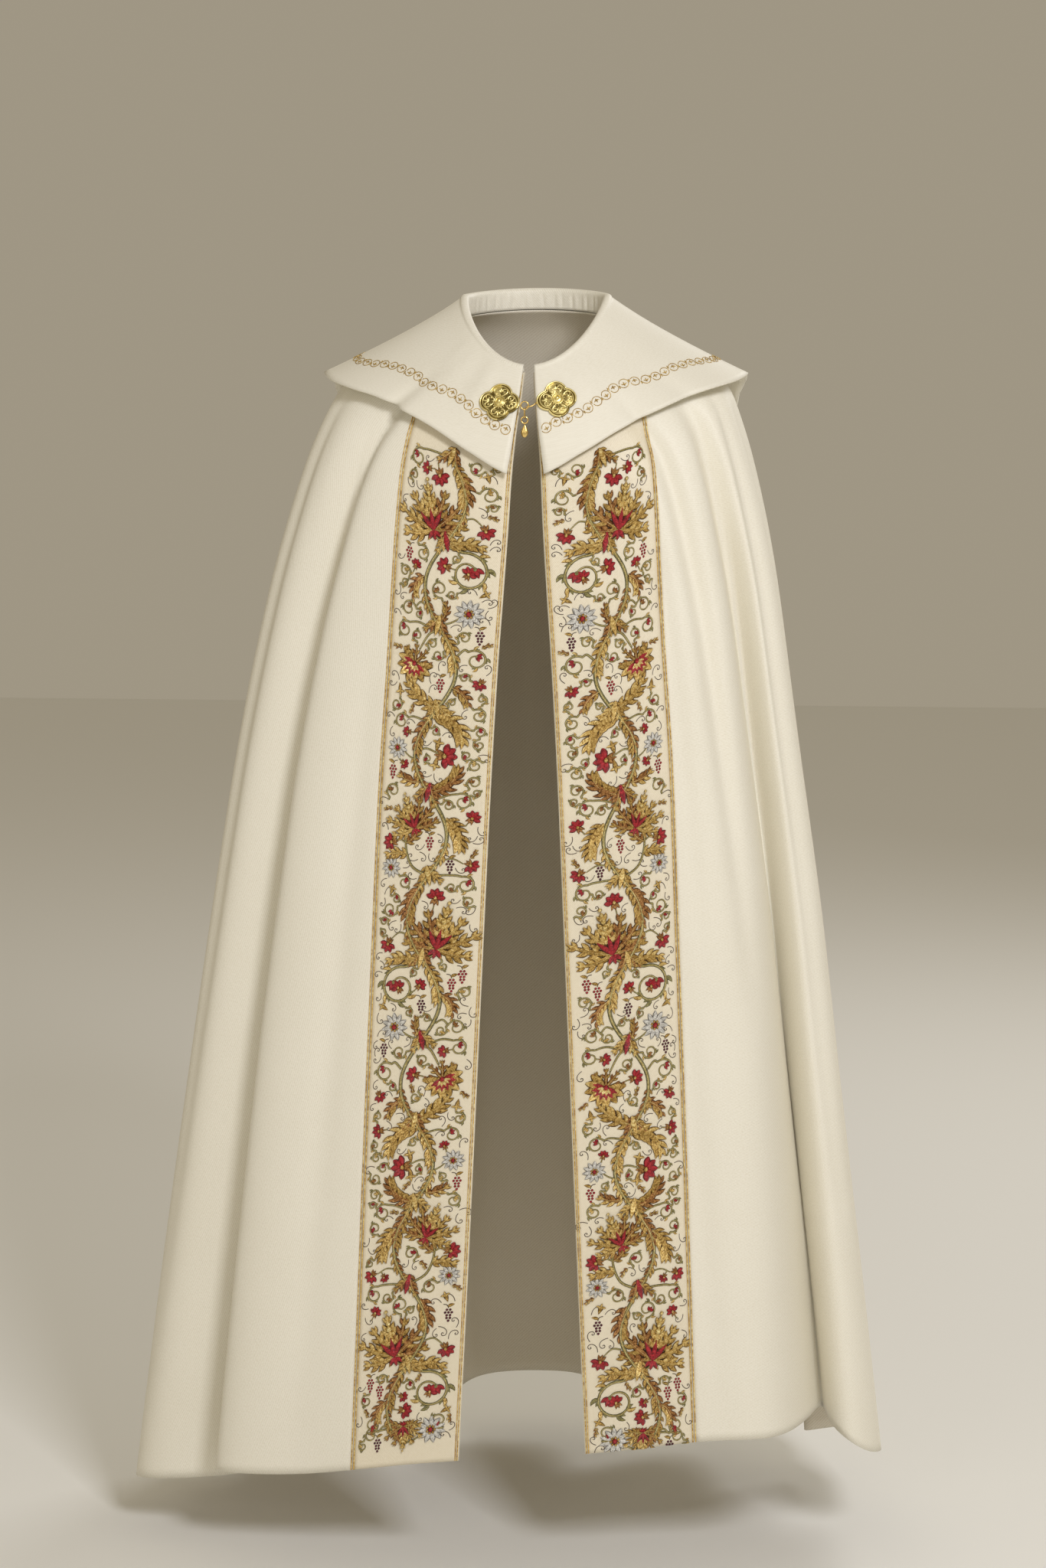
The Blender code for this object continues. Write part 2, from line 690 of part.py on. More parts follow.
def make_clasp(collar, look):
    """Two plates hooked together over the opening, with a short tail of links hanging from the eye."""
    bpy.context.view_layer.update()
    right_tip, left_tip = (make_plate(plate, collar, look) for plate in PLATES)
    eye_y = right_tip.y - EYE_FORWARD
    make_ring("clasp_eye", Vector((EYE_X, eye_y, EYE_Z)), EYE_RADIUS, EYE_WIRE, 0.0, 0.0, look)
    eye_side = Vector((EYE_X - EYE_RADIUS - EYE_WIRE, eye_y, EYE_Z))
    shank = (eye_side - right_tip).normalized() * SEAM_GAP
    make_wire("eye_shank", [right_tip + shank, eye_side - shank], EYE_WIRE, look)
    hook = [Vector((row.x, eye_y + row.y, row.z)) for row in HOOK_POINTS]
    from_tip = (hook[0] - left_tip).normalized() * SEAM_GAP
    make_wire("clasp_hook", [left_tip + from_tip, *hook], HOOK_WIRE, look)
    lift_pivot = Vector((EYE_X, eye_y, EYE_Z - EYE_RADIUS))
    link_top = lift_pivot.z + EYE_WIRE + LINK_PLAY + LINK_WIRE
    link_middle = Vector((EYE_X, eye_y, link_top - LINK_LENGTH / 2))
    longer = LINK_LENGTH - LINK_WIDTH
    link = make_ring("tail_link", link_middle, LINK_WIDTH / 2, LINK_WIRE, math.pi / 2, longer, look)
    move_origin(link, lift_pivot)
    sway_pivot = Vector((EYE_X, eye_y, link_top - LINK_LENGTH))
    ring_top = sway_pivot.z + LINK_WIRE + LINK_PLAY + TAIL_RING_WIRE
    ring_middle = Vector((EYE_X, eye_y, ring_top - TAIL_RING_RADIUS))
    ring = make_ring("tail_ring", ring_middle, TAIL_RING_RADIUS, TAIL_RING_WIRE, 0.0, 0.0, look)
    move_origin(ring, sway_pivot)
    drop_top = ring_middle - Vector((0.0, 0.0, TAIL_RING_RADIUS + TAIL_RING_WIRE + DROP_GAP))
    make_drop(drop_top, sway_pivot, look)


def main():
    for old in list(bpy.data.objects):
        bpy.data.objects.remove(old)
    scene_root = bpy.context.scene.collection
    scene_root.children.link(bpy.data.collections.new("cope_vestment"))
    cloth = material("ivory_wool_satin", (0.79, 0.72, 0.56), 0.62, 0.0)
    band_cloth = material("ivory_band_satin", (0.80, 0.73, 0.57), 0.55, 0.0)
    gold_cord = material("gold_cord", (0.62, 0.42, 0.12), 0.42, 0.6)
    make_mantle(cloth)
    for side in (-1, 1):
        make_band(side, band_cloth)
        name = "left" if side > 0 else "right"
        make_cord(f"seam_cord_{name}", side, on_seam, gold_cord)
        make_cord(f"edge_cord_{name}", side, on_edge, gold_cord)
    clasp_metal = material("gilt_cast_metal", (0.70, 0.50, 0.18), 0.30, 1.0)
    make_clasp(make_collar(cloth), clasp_metal)


main()
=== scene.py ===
"""Dresses the cope vestment: satin cloth with its folds, embroidered bands, gold cords and clasp."""

import functools
import logging
import math
from dataclasses import dataclass
from enum import Enum
from typing import Callable, NamedTuple, Sequence

import bmesh
import bpy
import numpy as np
from bmesh.types import BMesh, BMVert
from bpy.types import Material, Mesh, Node, NodeSocket, NodeTree, Object
from mathutils import Matrix, Vector
from mathutils.bvhtree import BVHTree


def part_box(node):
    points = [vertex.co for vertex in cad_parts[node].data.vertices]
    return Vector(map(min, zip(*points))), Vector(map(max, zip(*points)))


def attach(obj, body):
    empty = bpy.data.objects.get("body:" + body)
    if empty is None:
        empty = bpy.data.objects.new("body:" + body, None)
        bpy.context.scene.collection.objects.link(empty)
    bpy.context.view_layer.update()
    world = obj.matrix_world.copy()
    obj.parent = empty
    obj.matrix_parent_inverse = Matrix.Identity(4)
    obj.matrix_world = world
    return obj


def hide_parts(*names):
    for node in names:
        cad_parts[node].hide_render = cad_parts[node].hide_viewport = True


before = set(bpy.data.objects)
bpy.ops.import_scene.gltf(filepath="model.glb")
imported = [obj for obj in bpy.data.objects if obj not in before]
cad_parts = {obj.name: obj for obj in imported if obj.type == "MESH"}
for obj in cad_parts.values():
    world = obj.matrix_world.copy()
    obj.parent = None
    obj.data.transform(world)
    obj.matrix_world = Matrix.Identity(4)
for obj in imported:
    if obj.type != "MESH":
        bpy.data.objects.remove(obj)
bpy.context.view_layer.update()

LOG = logging.getLogger("cope")
Array = np.ndarray
Spot = Sequence[float]
Adder = Callable[..., Node]
Place = tuple[float, float, float]
MM = 0.001
WELD = 1e-6  # Points this near each other are one, in metres.
# Points inside the garment that its outer faces look away from.
INSIDE = np.array((0.0, 0.02, -0.75))
UNDER_COLLAR = np.array((0.0, 0.0, -0.6))
LEFT, BACK, UP = np.eye(3)


# The shape of the worn cloth, in the same tables as the solids'


class Section(NamedTuple):
    """One level of the cloth: heights at the arms, front and back, then the plan and fold sizes."""

    side: float
    front: float
    back: float
    right: float
    left: float
    front_depth: float
    back_depth: float
    square: float
    fold: float
    edge: float
    seam: float


class Fold(NamedTuple):
    """A fold that runs down the cloth, with its angles, half width in degrees, depth and lean."""

    top: float
    middle: float
    hem: float
    width: float
    depth: float
    lean: float


class Swell(NamedTuple):
    """A soft swell of the broad cloth between two folds."""

    angle: float
    width: float
    out: float


class HemLift(NamedTuple):
    """How far the hem hangs above or below its level at an angle."""

    angle: float
    lift: float


class Crease(NamedTuple):
    """A shallow crease: angles and levels of its two ends, half width in degrees and depth."""

    start_angle: float
    end_angle: float
    start_level: float
    end_level: float
    width: float
    depth: float


class CollarEdge(NamedTuple):
    """The outer edge of the cape collar: its height and how far it stands off the mantle."""

    angle: float
    height: float
    stand_off: float


SECTIONS = tuple(Section(*row) for row in (
    (-0.026, -0.092, -0.018, 0.083, 0.083, 0.100, 0.070, 2.0, 0.00, 0.005, 0.079),
    (-0.045, -0.127, -0.043, 0.134, 0.133, 0.118, 0.098, 2.0, 0.00, 0.008, 0.110),
    (-0.071, -0.167, -0.082, 0.192, 0.190, 0.131, 0.121, 2.1, 0.02, 0.013, 0.132),
    (-0.106, -0.214, -0.128, 0.234, 0.228, 0.141, 0.137, 2.3, 0.07, 0.017, 0.145),
    (-0.153, -0.270, -0.185, 0.262, 0.248, 0.149, 0.151, 2.4, 0.13, 0.020, 0.151),
    (-0.225, -0.345, -0.258, 0.289, 0.268, 0.156, 0.167, 2.4, 0.21, 0.025, 0.156),
    (-0.335, -0.445, -0.365, 0.320, 0.290, 0.162, 0.188, 2.4, 0.32, 0.032, 0.162),
    (-0.505, -0.590, -0.525, 0.356, 0.314, 0.168, 0.216, 2.4, 0.45, 0.040, 0.172),
    (-0.730, -0.790, -0.745, 0.393, 0.345, 0.176, 0.250, 2.4, 0.60, 0.049, 0.181),
    (-0.965, -0.995, -0.975, 0.428, 0.371, 0.184, 0.282, 2.4, 0.75, 0.058, 0.190),
    (-1.200, -1.195, -1.210, 0.461, 0.398, 0.193, 0.312, 2.4, 0.88, 0.067, 0.198),
    (-1.435, -1.385, -1.452, 0.491, 0.424, 0.202, 0.340, 2.4, 1.00, 0.076, 0.206),
))
LAST = len(SECTIONS) - 1
# Share of its hem width that a fold has at the neck.
FOLD_TOP_WIDTH = 0.55
# How quickly the cloth's height changes from the arms to the front and back.
SLOPE_POWER = 1.5
CREASE_FADE_POWER = 0.7
HALVINGS = 30
FOLDS = tuple(Fold(*row) for row in (
    (-57.0, -58.5, -59.0, 6.5, 0.090, 0.066), (-99.0, -100.0, -101.0, 9.0, 0.080, -0.030),
    (-131.0, -132.0, -133.0, 8.0, 0.095, 0.035), (-163.0, -162.0, -161.0, 7.5, 0.080, -0.030),
    (168.0, 168.0, 167.0, 7.0, 0.090, 0.030), (142.0, 141.0, 140.0, 8.0, 0.085, -0.030),
    (113.0, 113.0, 113.0, 8.0, 0.085, -0.030), (54.0, 58.0, 53.0, 7.0, 0.080, 0.060),
))
SWELLS = tuple(Swell(*row) for row in (
    (-42.0, 10.0, 0.012), (-78.0, 11.0, 0.018), (-116.0, 9.0, 0.014), (-147.0, 8.0, 0.012),
    (180.0, 10.0, 0.010), (152.0, 8.0, 0.012), (120.0, 9.0, 0.016), (76.0, 11.0, 0.016),
    (37.0, 8.0, 0.008),
))
HEM_LIFTS = tuple(HemLift(*row) for row in (
    (-180, 0.000), (-120, -0.024), (-90, -0.038), (-66, -0.036), (-48, -0.020),
    (-28, -0.022), (-8, -0.004), (8, 0.012), (28, 0.034), (45, 0.044),
    (57, 0.048), (72, 0.024), (90, 0.018), (120, -0.004), (180, 0.000),
))
COLLAR_EDGES = tuple(CollarEdge(*row) for row in (
    (0, -0.214, 0.009), (15, -0.185, 0.010), (30, -0.157, 0.012), (45, -0.135, 0.016),
    (60, -0.117, 0.022), (75, -0.104, 0.029), (90, -0.095, 0.034), (100, -0.099, 0.034),
    (110, -0.116, 0.033), (123, -0.149, 0.031), (140, -0.180, 0.027), (160, -0.198, 0.022),
    (180, -0.204, 0.019),
))
# Shallow creases that the satin takes where it hangs, uneven as worn cloth is.
CREASES = tuple(Crease(*row) for row in (
    (-52.0, -59.0, 1.9, 11.6, 4.2, 0.0190), (-47.5, -52.5, 1.4, 8.4, 3.0, 0.0180),
    (-73.0, -76.0, 2.6, 10.5, 3.4, 0.0065), (-86.0, -88.0, 3.0, 8.0, 3.0, 0.0055),
    (37.0, 46.0, 1.6, 8.6, 3.0, 0.0125), (30.0, 33.0, 3.4, 8.5, 2.6, 0.0050),
    (55.0, 60.0, 2.2, 11.4, 3.6, 0.0150), (70.0, 70.0, 2.6, 10.0, 3.0, 0.0080),
    (83.0, 88.0, 3.2, 11.0, 3.4, 0.0085), (97.0, 100.0, 2.8, 7.5, 2.6, 0.0060),
    (128.0, 126.0, 3.0, 9.0, 3.0, 0.0070), (155.0, 154.0, 2.6, 8.0, 2.8, 0.0060),
    (-176.0, -178.0, 2.4, 10.5, 2.6, 0.0065), (-149.0, -148.0, 3.0, 8.5, 2.8, 0.0070),
    (-116.0, -117.0, 3.2, 10.0, 2.8, 0.0065), (-30.0, -31.0, 6.0, 11.0, 3.0, 0.0035),
    (27.0, 30.0, 7.0, 11.0, 2.6, 0.0040),
))


def along(values: Array, position: Array) -> Array:
    """Values between the rows of a table, on a smooth curve through them.

    Args:
        values: One row for each whole position.
        position: Where the values are wanted.

    Returns:
        The values, with position's shape in front of a row's.
    """
    low = np.clip(np.floor(position).astype(int), 0, len(values) - 2)
    share = (position - low)[(...,) + (None,) * (values.ndim - 1)]
    before, start = values[np.maximum(low - 1, 0)], values[low]
    end, after = values[low + 1], values[np.minimum(low + 2, len(values) - 1)]
    cube, square = share**3, share**2
    return (
        (2 * cube - 3 * square + 1) * start
        + (cube - 2 * square + share) * (end - before) / 2
        + (3 * square - 2 * cube) * end
        + (cube - square) * (after - start) / 2
    )


def at_angle(rows: Sequence[NamedTuple], angle: Array, column: str) -> Array:
    """A column of a table of angles, on a smooth curve through its rows.

    Args:
        rows: The table, with an angle in each row.
        angle: The angles wanted, in degrees.
        column: The name of the column.

    Returns:
        The column's values at the angles.
    """
    angles = np.array([row.angle for row in rows], float)
    low = np.clip(np.searchsorted(angles, angle, side="right") - 1, 0, len(rows) - 2)
    position = low + (angle - angles[low]) / (angles[low + 1] - angles[low])
    return along(np.array([getattr(row, column) for row in rows]), position)


def wrapped(angle: Array) -> Array:
    """The same directions, from -180 to 180 degrees."""
    return (angle + 180.0) % 360.0 - 180.0


def signed_power(value: Array, power: Array) -> Array:
    """A power that keeps the sign."""
    return np.sign(value) * np.abs(value) ** power


def normalised(vectors: Array) -> Array:
    """Vectors of length one in the same directions."""
    return vectors / np.maximum(np.linalg.norm(vectors, axis=-1, keepdims=True), 1e-12)


def run_along(line: Array) -> Array:
    """The length of a line from its start to each of its points."""
    return np.concatenate(([0.0], np.cumsum(np.linalg.norm(np.diff(line, axis=0), axis=1))))


def round_about(turn: Array) -> Array:
    """Points on a circle of radius one at some turns."""
    return np.stack((np.cos(turn), np.sin(turn)), -1)


@dataclass(frozen=True)
class Drape:
    """The worn cloth as a surface of an angle round the wearer and a level down the cloth."""

    creased: bool = True

    def section(self, level: Array) -> Section:
        """The sizes at some levels, each an array."""
        table = along(np.array(SECTIONS), np.asarray(level, float))
        return Section(*np.moveaxis(table, -1, 0))

    def plan(self, angle: Array, row: Section) -> tuple[Array, Array, Array]:
        """The plan curve and its outward direction.

        Args:
            angle: Degrees from the front.
            row: The sizes at the same places.

        Returns:
            x, y and the outward directions.
        """
        turn = np.radians(angle)
        sine, cosine = np.sin(turn), np.cos(turn)
        half = np.where(sine >= 0, row.left, row.right)
        depth = np.where(cosine >= 0, row.front_depth, row.back_depth)
        x = half * signed_power(sine, 2 / row.square)
        y = -depth * signed_power(cosine, 2 / row.square)
        across = signed_power(x / half, row.square - 1) / half
        forth = signed_power(y / depth, row.square - 1) / depth
        return x, y, normalised(np.stack((across, forth, np.zeros_like(x)), -1))

    def points(self, angle: Array, level: Array) -> Array:
        """Points of the cloth's outer face.

        Args:
            angle: Degrees from the front, towards the wearer's left.
            level: Rows down the cloth, from 0 at the neck seam.

        Returns:
            The points, in metres.
        """
        angle, level = np.broadcast_arrays(np.asarray(angle, float), np.asarray(level, float))
        row = self.section(level)
        x, y, outward = self.plan(angle, row)
        cosine = np.cos(np.radians(angle))
        z = row.side + (row.front - row.side) * np.maximum(0, cosine) ** SLOPE_POWER
        z = z + (row.back - row.side) * np.maximum(0, -cosine) ** SLOPE_POWER
        z = z + at_angle(HEM_LIFTS, wrapped(angle), "lift") * row.fold
        sideways = np.stack((-outward[..., 1], outward[..., 0], np.zeros_like(x)), -1)
        share = level / LAST
        width_share = FOLD_TOP_WIDTH + (1 - FOLD_TOP_WIDTH) * share
        aside, inward = np.zeros_like(x), np.zeros_like(x)
        for fold in FOLDS:
            centre = (
                fold.top * (1 - share) * (1 - 2 * share)
                + fold.middle * 4 * share * (1 - share)
                + fold.hem * share * (2 * share - 1)
            )
            reach = row.fold * np.exp(-((wrapped(angle - centre) / (fold.width * width_share)) ** 2))
            aside = aside + reach * fold.lean
            inward = inward + reach * fold.depth
        for swell in SWELLS:
            bell = np.exp(-((wrapped(angle - swell.angle) / swell.width) ** 2))
            inward = inward - row.fold * bell * swell.out
        if self.creased:
            for crease in CREASES:
                run = (level - crease.start_level) / (crease.end_level - crease.start_level)
                centre = crease.start_angle + (crease.end_angle - crease.start_angle) * run
                fade = np.sin(np.pi * np.clip(run, 0, 1)) ** CREASE_FADE_POWER
                bell = np.exp(-((wrapped(angle - centre) / crease.width) ** 2))
                inward = inward + fade * bell * crease.depth
        return np.stack((x, y, z), -1) + aside[..., None] * sideways - inward[..., None] * outward

    def angle_beside(self, distance: Array, level: Array, side: int) -> Array:
        """The unsigned angle at which the cloth is a distance beside the middle.

        Args:
            distance: Distances from the middle, in metres.
            level: Levels down the cloth.
            side: 1 on the wearer's left and -1 on the right.

        Returns:
            The angles, in degrees.
        """
        row = self.section(level)
        half = row.left if side > 0 else row.right
        return np.degrees(np.arcsin(np.minimum(1, distance / half) ** (row.square / 2)))

    def level_at_height(self, angle: Array, height: Array) -> Array:
        """The levels at which the cloth has some heights, found by halving.

        Args:
            angle: Degrees from the front.
            height: Heights, in metres.

        Returns:
            The levels.
        """
        low, high = np.zeros_like(angle), np.full_like(angle, LAST)
        for _ in range(HALVINGS):
            middle = (low + high) / 2
            above = self.points(angle, middle)[..., 2] > height
            low, high = np.where(above, middle, low), np.where(above, high, middle)
        return (low + high) / 2


@dataclass
class Lattice:
    """A surface as rows and columns of points, read smoothly between them."""

    points: Array
    towards: Array

    def __post_init__(self) -> None:
        """Works out the outward directions, which face away from the point towards."""
        down, across = np.gradient(self.points, axis=0), np.gradient(self.points, axis=1)
        self.normals = normalised(np.cross(across, down))
        flip = np.sum(self.normals * (self.points - self.towards), axis=-1).mean() < 0
        self.flipped = bool(flip)
        if flip:
            self.normals = -self.normals

    def flat_sizes(self) -> tuple[Array, Array]:
        """Distances along each row and down each column, in metres.

        Returns:
            Both distances at every point; those across start from the middle.
        """
        across = np.linalg.norm(np.diff(self.points, axis=1), axis=-1)
        down = np.linalg.norm(np.diff(self.points, axis=0), axis=-1)
        u = np.concatenate((np.zeros((len(across), 1)), np.cumsum(across, axis=1)), axis=1)
        v = np.concatenate((np.zeros((1, down.shape[1])), np.cumsum(down, axis=0)), axis=0)
        return u - u[:, -1:] / 2, v

    def at(self, s: Array, t: Array, height: Array) -> Array:
        """Points over the surface.

        Args:
            s: Share across, 0 to 1.
            t: Share down, 0 to 1.
            height: Height over the surface, in metres.

        Returns:
            The points.
        """
        rows, columns = self.points.shape[:2]
        i = np.clip(t, 0, 1) * (rows - 1)
        j = np.clip(s, 0, 1) * (columns - 1)
        i0 = np.minimum(i.astype(int), rows - 2)
        j0 = np.minimum(j.astype(int), columns - 2)
        a, b = (i - i0)[..., None], (j - j0)[..., None]

        def mix(field: Array) -> Array:
            """A field's values between its rows and columns.

            Args:
                field: A value for each point of the lattice.

            Returns:
                The values at the places wanted.
            """
            upper = field[i0, j0] * (1 - b) + field[i0, j0 + 1] * b
            lower = field[i0 + 1, j0] * (1 - b) + field[i0 + 1, j0 + 1] * b
            return upper * (1 - a) + lower * a

        return mix(self.points) + normalised(mix(self.normals)) * np.asarray(height)[..., None]


# Materials


def linear(code: str) -> tuple[float, float, float, float]:
    """The linear colour of an sRGB hex code.

    Args:
        code: Six hex digits.

    Returns:
        Red, green, blue and a full alpha.
    """
    parts = [int(code[i : i + 2], 16) / 255 for i in (0, 2, 4)]
    red, green, blue = (p / 12.92 if p <= 0.04045 else ((p + 0.055) / 1.055) ** 2.4 for p in parts)
    return red, green, blue, 1.0


def add_node(
    tree: NodeTree,
    kind: str,
    settings: dict[str, object] | None = None,
    inputs: dict[int | str, object] | None = None,
) -> Node:
    """Adds one node with its settings, and its inputs as values or links.

    Args:
        tree: The material's node tree.
        kind: The node's type name, without ShaderNode.
        settings: Properties of the node.
        inputs: Each input's value, or the output socket that feeds it.

    Returns:
        The node.
    """
    node = tree.nodes.new("ShaderNode" + kind)
    for name, value in (settings or {}).items():
        setattr(node, name, value)
    feed(node, inputs or {})
    return node


def feed(node: Node, inputs: dict[int | str, object]) -> None:
    """Gives a node's inputs their values, or links them to the sockets that feed them.

    Args:
        node: The node.
        inputs: Each input's value, or the output socket that feeds it.
    """
    for name, value in inputs.items():
        if isinstance(value, NodeSocket):
            node.id_data.links.new(value, node.inputs[name])
        else:
            node.inputs[name].default_value = value


def new_material(name: str) -> tuple[Material, Adder, Node]:
    """A material, the function that adds nodes to it, and its shader.

    Args:
        name: Its name.

    Returns:
        The material, add_node bound to its tree, and the shader.
    """
    made = bpy.data.materials.new(name)
    made.use_nodes = True
    return made, functools.partial(add_node, made.node_tree), made.node_tree.nodes["Principled BSDF"]


def colour_ramp(add: Adder, factor: NodeSocket, stops: Sequence[tuple[float, str]]) -> NodeSocket:
    """The colour that a ramp gives a factor.

    Args:
        add: Adds a node to the material.
        factor: The socket that the ramp reads.
        stops: Positions and hex colours.

    Returns:
        The ramp's colour socket.
    """
    node = add("ValToRGB", {}, {"Fac": factor})
    elements = node.color_ramp.elements
    while len(elements) < len(stops):
        elements.new(0.5)
    for element, (place, code) in zip(elements, stops):
        element.position = place
        element.color = linear(code)
    return node.outputs["Color"]


# Blender's wave texture turns this many radians in each unit.
WAVE_RADIANS = 20.0
# Cells of each noise pattern in a metre, and the size of a cell.
SLUBS_PER_METRE = 420.0  # 2.4 mm: thick places in the weft threads.
CLOUDS_PER_METRE = 7.0  # 140 mm: slow changes of tone down a length of cloth.
CORD_GLINT_FLECKS_PER_METRE = 260.0  # 4 mm: one turn of a cord's strand.
CAST_GRAINS_PER_METRE = 900.0  # 1.1 mm: the skin of a small casting.


@dataclass(frozen=True)
class ClothFinish:
    """Woven cloth, with its threads drawn from the UV map, which is in metres.

    Real satin and twill have about 20 ribs to a centimetre. They are drawn three or four times as
    coarse, because finer ones would not show in the render.
    """

    name: str
    light: str
    deep: str
    thread_mm: float = 1.5
    rough: float = 0.50
    sheen: float = 0.20
    weave_bump: float = 0.16
    rib_share: float = 0.4
    cloud_share: float = 0.22

    def make(self) -> Material:
        """Builds the material.

        Returns:
            The material.
        """
        made, add, shader = new_material(self.name)
        uv = add("UVMap", {"uv_map": "cloth"}).outputs["UV"]
        waves = 1.0 / (self.thread_mm * MM) / WAVE_RADIANS * math.tau
        warp = add(
            "TexWave", {"wave_type": "BANDS", "bands_direction": "DIAGONAL"},
            {"Vector": uv, "Scale": waves, "Distortion": 0.7, "Detail": 2.0, "Detail Scale": 1.5},
        ).outputs["Fac"]
        slub = add(
            "TexNoise", {},
            {"Vector": uv, "Scale": SLUBS_PER_METRE, "Detail": 3.0, "Roughness": 0.6},
        ).outputs["Fac"]
        cloud = add(
            "TexNoise", {},
            {"Vector": uv, "Scale": CLOUDS_PER_METRE, "Detail": 4.0, "Roughness": 0.55},
        ).outputs["Fac"]
        weave = add(
            "Math", {"operation": "MULTIPLY_ADD"}, {0: warp, 1: self.rib_share, 2: slub}
        ).outputs[0]
        mixed = add(
            "Math", {"operation": "MULTIPLY_ADD"}, {0: cloud, 1: self.cloud_share, 2: weave}
        ).outputs[0]
        colour = colour_ramp(add, mixed, ((0.40, self.deep), (1.0, self.light)))
        bump = add(
            "Bump", {}, {"Strength": self.weave_bump, "Distance": 0.0006, "Height": weave}
        ).outputs["Normal"]
        ripple = add(
            "Bump", {}, {"Strength": 0.12, "Distance": 0.003, "Height": cloud, "Normal": bump}
        ).outputs["Normal"]
        # The thick places of the weft scatter light a little more than the rest.
        rough = add(
            "MapRange", {}, {"Value": slub, "To Min": self.rough - 0.06, "To Max": self.rough + 0.08}
        ).outputs["Result"]
        feed(shader, {
            "Base Color": colour, "Normal": ripple, "Roughness": rough, "Sheen Weight": self.sheen,
            "Sheen Roughness": 0.45, "Sheen Tint": linear("FFF6E0"), "Specular IOR Level": 0.42,
        })
        return made


@dataclass(frozen=True)
class ThreadFinish:
    """Embroidery thread in satin stitch, drawn from the stitch attribute: share across, mm along, with
    painted highlights and painted shade in its colour.

    A real thread is 0.4 mm thick. It is drawn coarser, at stitch_mm, so that it shows.
    """

    name: str
    light: str
    middle: str
    dark: str
    edge: str
    metal: float = 0.0
    rough: float = 0.45
    stitch_mm: float = 1.1
    slant_mm: float = 5.0
    glint: float = 0.07

    def make(self) -> Material:
        """Builds the material.

        Returns:
            The material.
        """
        made, add, shader = new_material(self.name)
        stitch = add("Attribute", {"attribute_name": "stitch"}).outputs["Vector"]
        split = add("SeparateXYZ", {}, {"Vector": stitch})
        across, run, seed = split.outputs[0], split.outputs[1], split.outputs[2]
        side = add("Math", {"operation": "SUBTRACT"}, {0: across, 1: 0.5}).outputs[0]
        side = add("Math", {"operation": "ABSOLUTE"}, {0: side}).outputs[0]
        slant = add("Math", {"operation": "MULTIPLY_ADD"}, {0: side, 1: self.slant_mm, 2: run}).outputs[0]
        thread = add(
            "Math", {"operation": "MULTIPLY"}, {0: slant, 1: math.tau / self.stitch_mm}
        ).outputs[0]
        thread = add("Math", {"operation": "SINE"}, {0: thread}).outputs[0]
        # Painted highlights and painted shade lie in flecks a little under 2 mm long that run with the
        # thread.
        wide = add("Math", {"operation": "MULTIPLY"}, {0: across, 1: 1.6}).outputs[0]
        long = add("Math", {"operation": "MULTIPLY"}, {0: slant, 1: 0.55}).outputs[0]
        place = add("CombineXYZ", {}, {0: wide, 1: long, 2: seed}).outputs[0]
        glint_fleck = add(
            "TexNoise", {}, {"Vector": place, "Scale": 1.0, "Detail": 3.0, "Roughness": 0.7}
        ).outputs["Fac"]
        # By the share glint, each thread's crest is painted lighter and the groove between threads is
        # painted darker: painted glint and painted shade.
        tone = add("Math", {"operation": "MULTIPLY_ADD"}, {0: thread, 1: self.glint, 2: glint_fleck}).outputs[0]
        # The ramp's light colour is painted highlight and its dark colour is painted shade, around the
        # thread's middle colour.
        colour = colour_ramp(add, tone, ((0.34, self.dark), (0.48, self.middle), (0.64, self.light)))
        # A dark line of outline stitch shades the rim of each strip.
        rim = add("MapRange", {}, {"Value": side, "From Min": 0.31, "From Max": 0.40}).outputs["Result"]
        mixed = add(
            "Mix", {"data_type": "RGBA"}, {"Factor": rim, 6: colour, 7: linear(self.edge)}
        ).outputs[2]
        bump = add("Bump", {}, {"Strength": 0.55, "Distance": 0.0004, "Height": thread}).outputs["Normal"]
        feed(shader, {"Base Color": mixed, "Normal": bump, "Metallic": self.metal, "Roughness": self.rough})
        return made


@dataclass(frozen=True)
class MetalFinish:
    """Gilt metal, bright on its ridges and dark in its recesses, from the relief attribute."""

    name: str
    bright: str
    dark: str
    rough: float = 0.26
    grain_share: float = 0.35

    def make(self) -> Material:
        """Builds the material.

        Returns:
            The material.
        """
        made, add, shader = new_material(self.name)
        relief = add("Attribute", {"attribute_name": "relief"}).outputs["Fac"]
        where = add("TexCoord").outputs["Object"]
        grain = add(
            "TexNoise", {}, {"Vector": where, "Scale": CAST_GRAINS_PER_METRE, "Detail": 3.0}
        ).outputs["Fac"]
        tone = add(
            "Math", {"operation": "MULTIPLY_ADD"}, {0: grain, 1: self.grain_share, 2: relief}
        ).outputs[0]
        colour = colour_ramp(add, tone, ((0.28, self.dark), (0.62, self.bright)))
        bump = add("Bump", {}, {"Strength": 0.15, "Distance": 0.0002, "Height": grain}).outputs["Normal"]
        feed(shader, {"Base Color": colour, "Normal": bump, "Metallic": 1.0, "Roughness": self.rough})
        return made


class Thread(Enum):
    """The threads of the embroidery. Each value is the material's place in a piece's slots."""

    GOLD = 0
    OLD_GOLD = 1
    BRONZE = 2
    OLIVE = 3
    CRIMSON = 4
    PLUM = 5
    WHITE = 6
    OUTLINE = 7
    PALE_GOLD = 8


GOLD, OLD_GOLD, BRONZE, OLIVE, CRIMSON, PLUM, WHITE, OUTLINE, PALE_GOLD = Thread
# The light and deep threads of a bright leaf and of a deep one.
BRIGHT = (GOLD, OLD_GOLD)
DEEP = (OLD_GOLD, BRONZE)
WARM = (*BRIGHT, BRONZE)


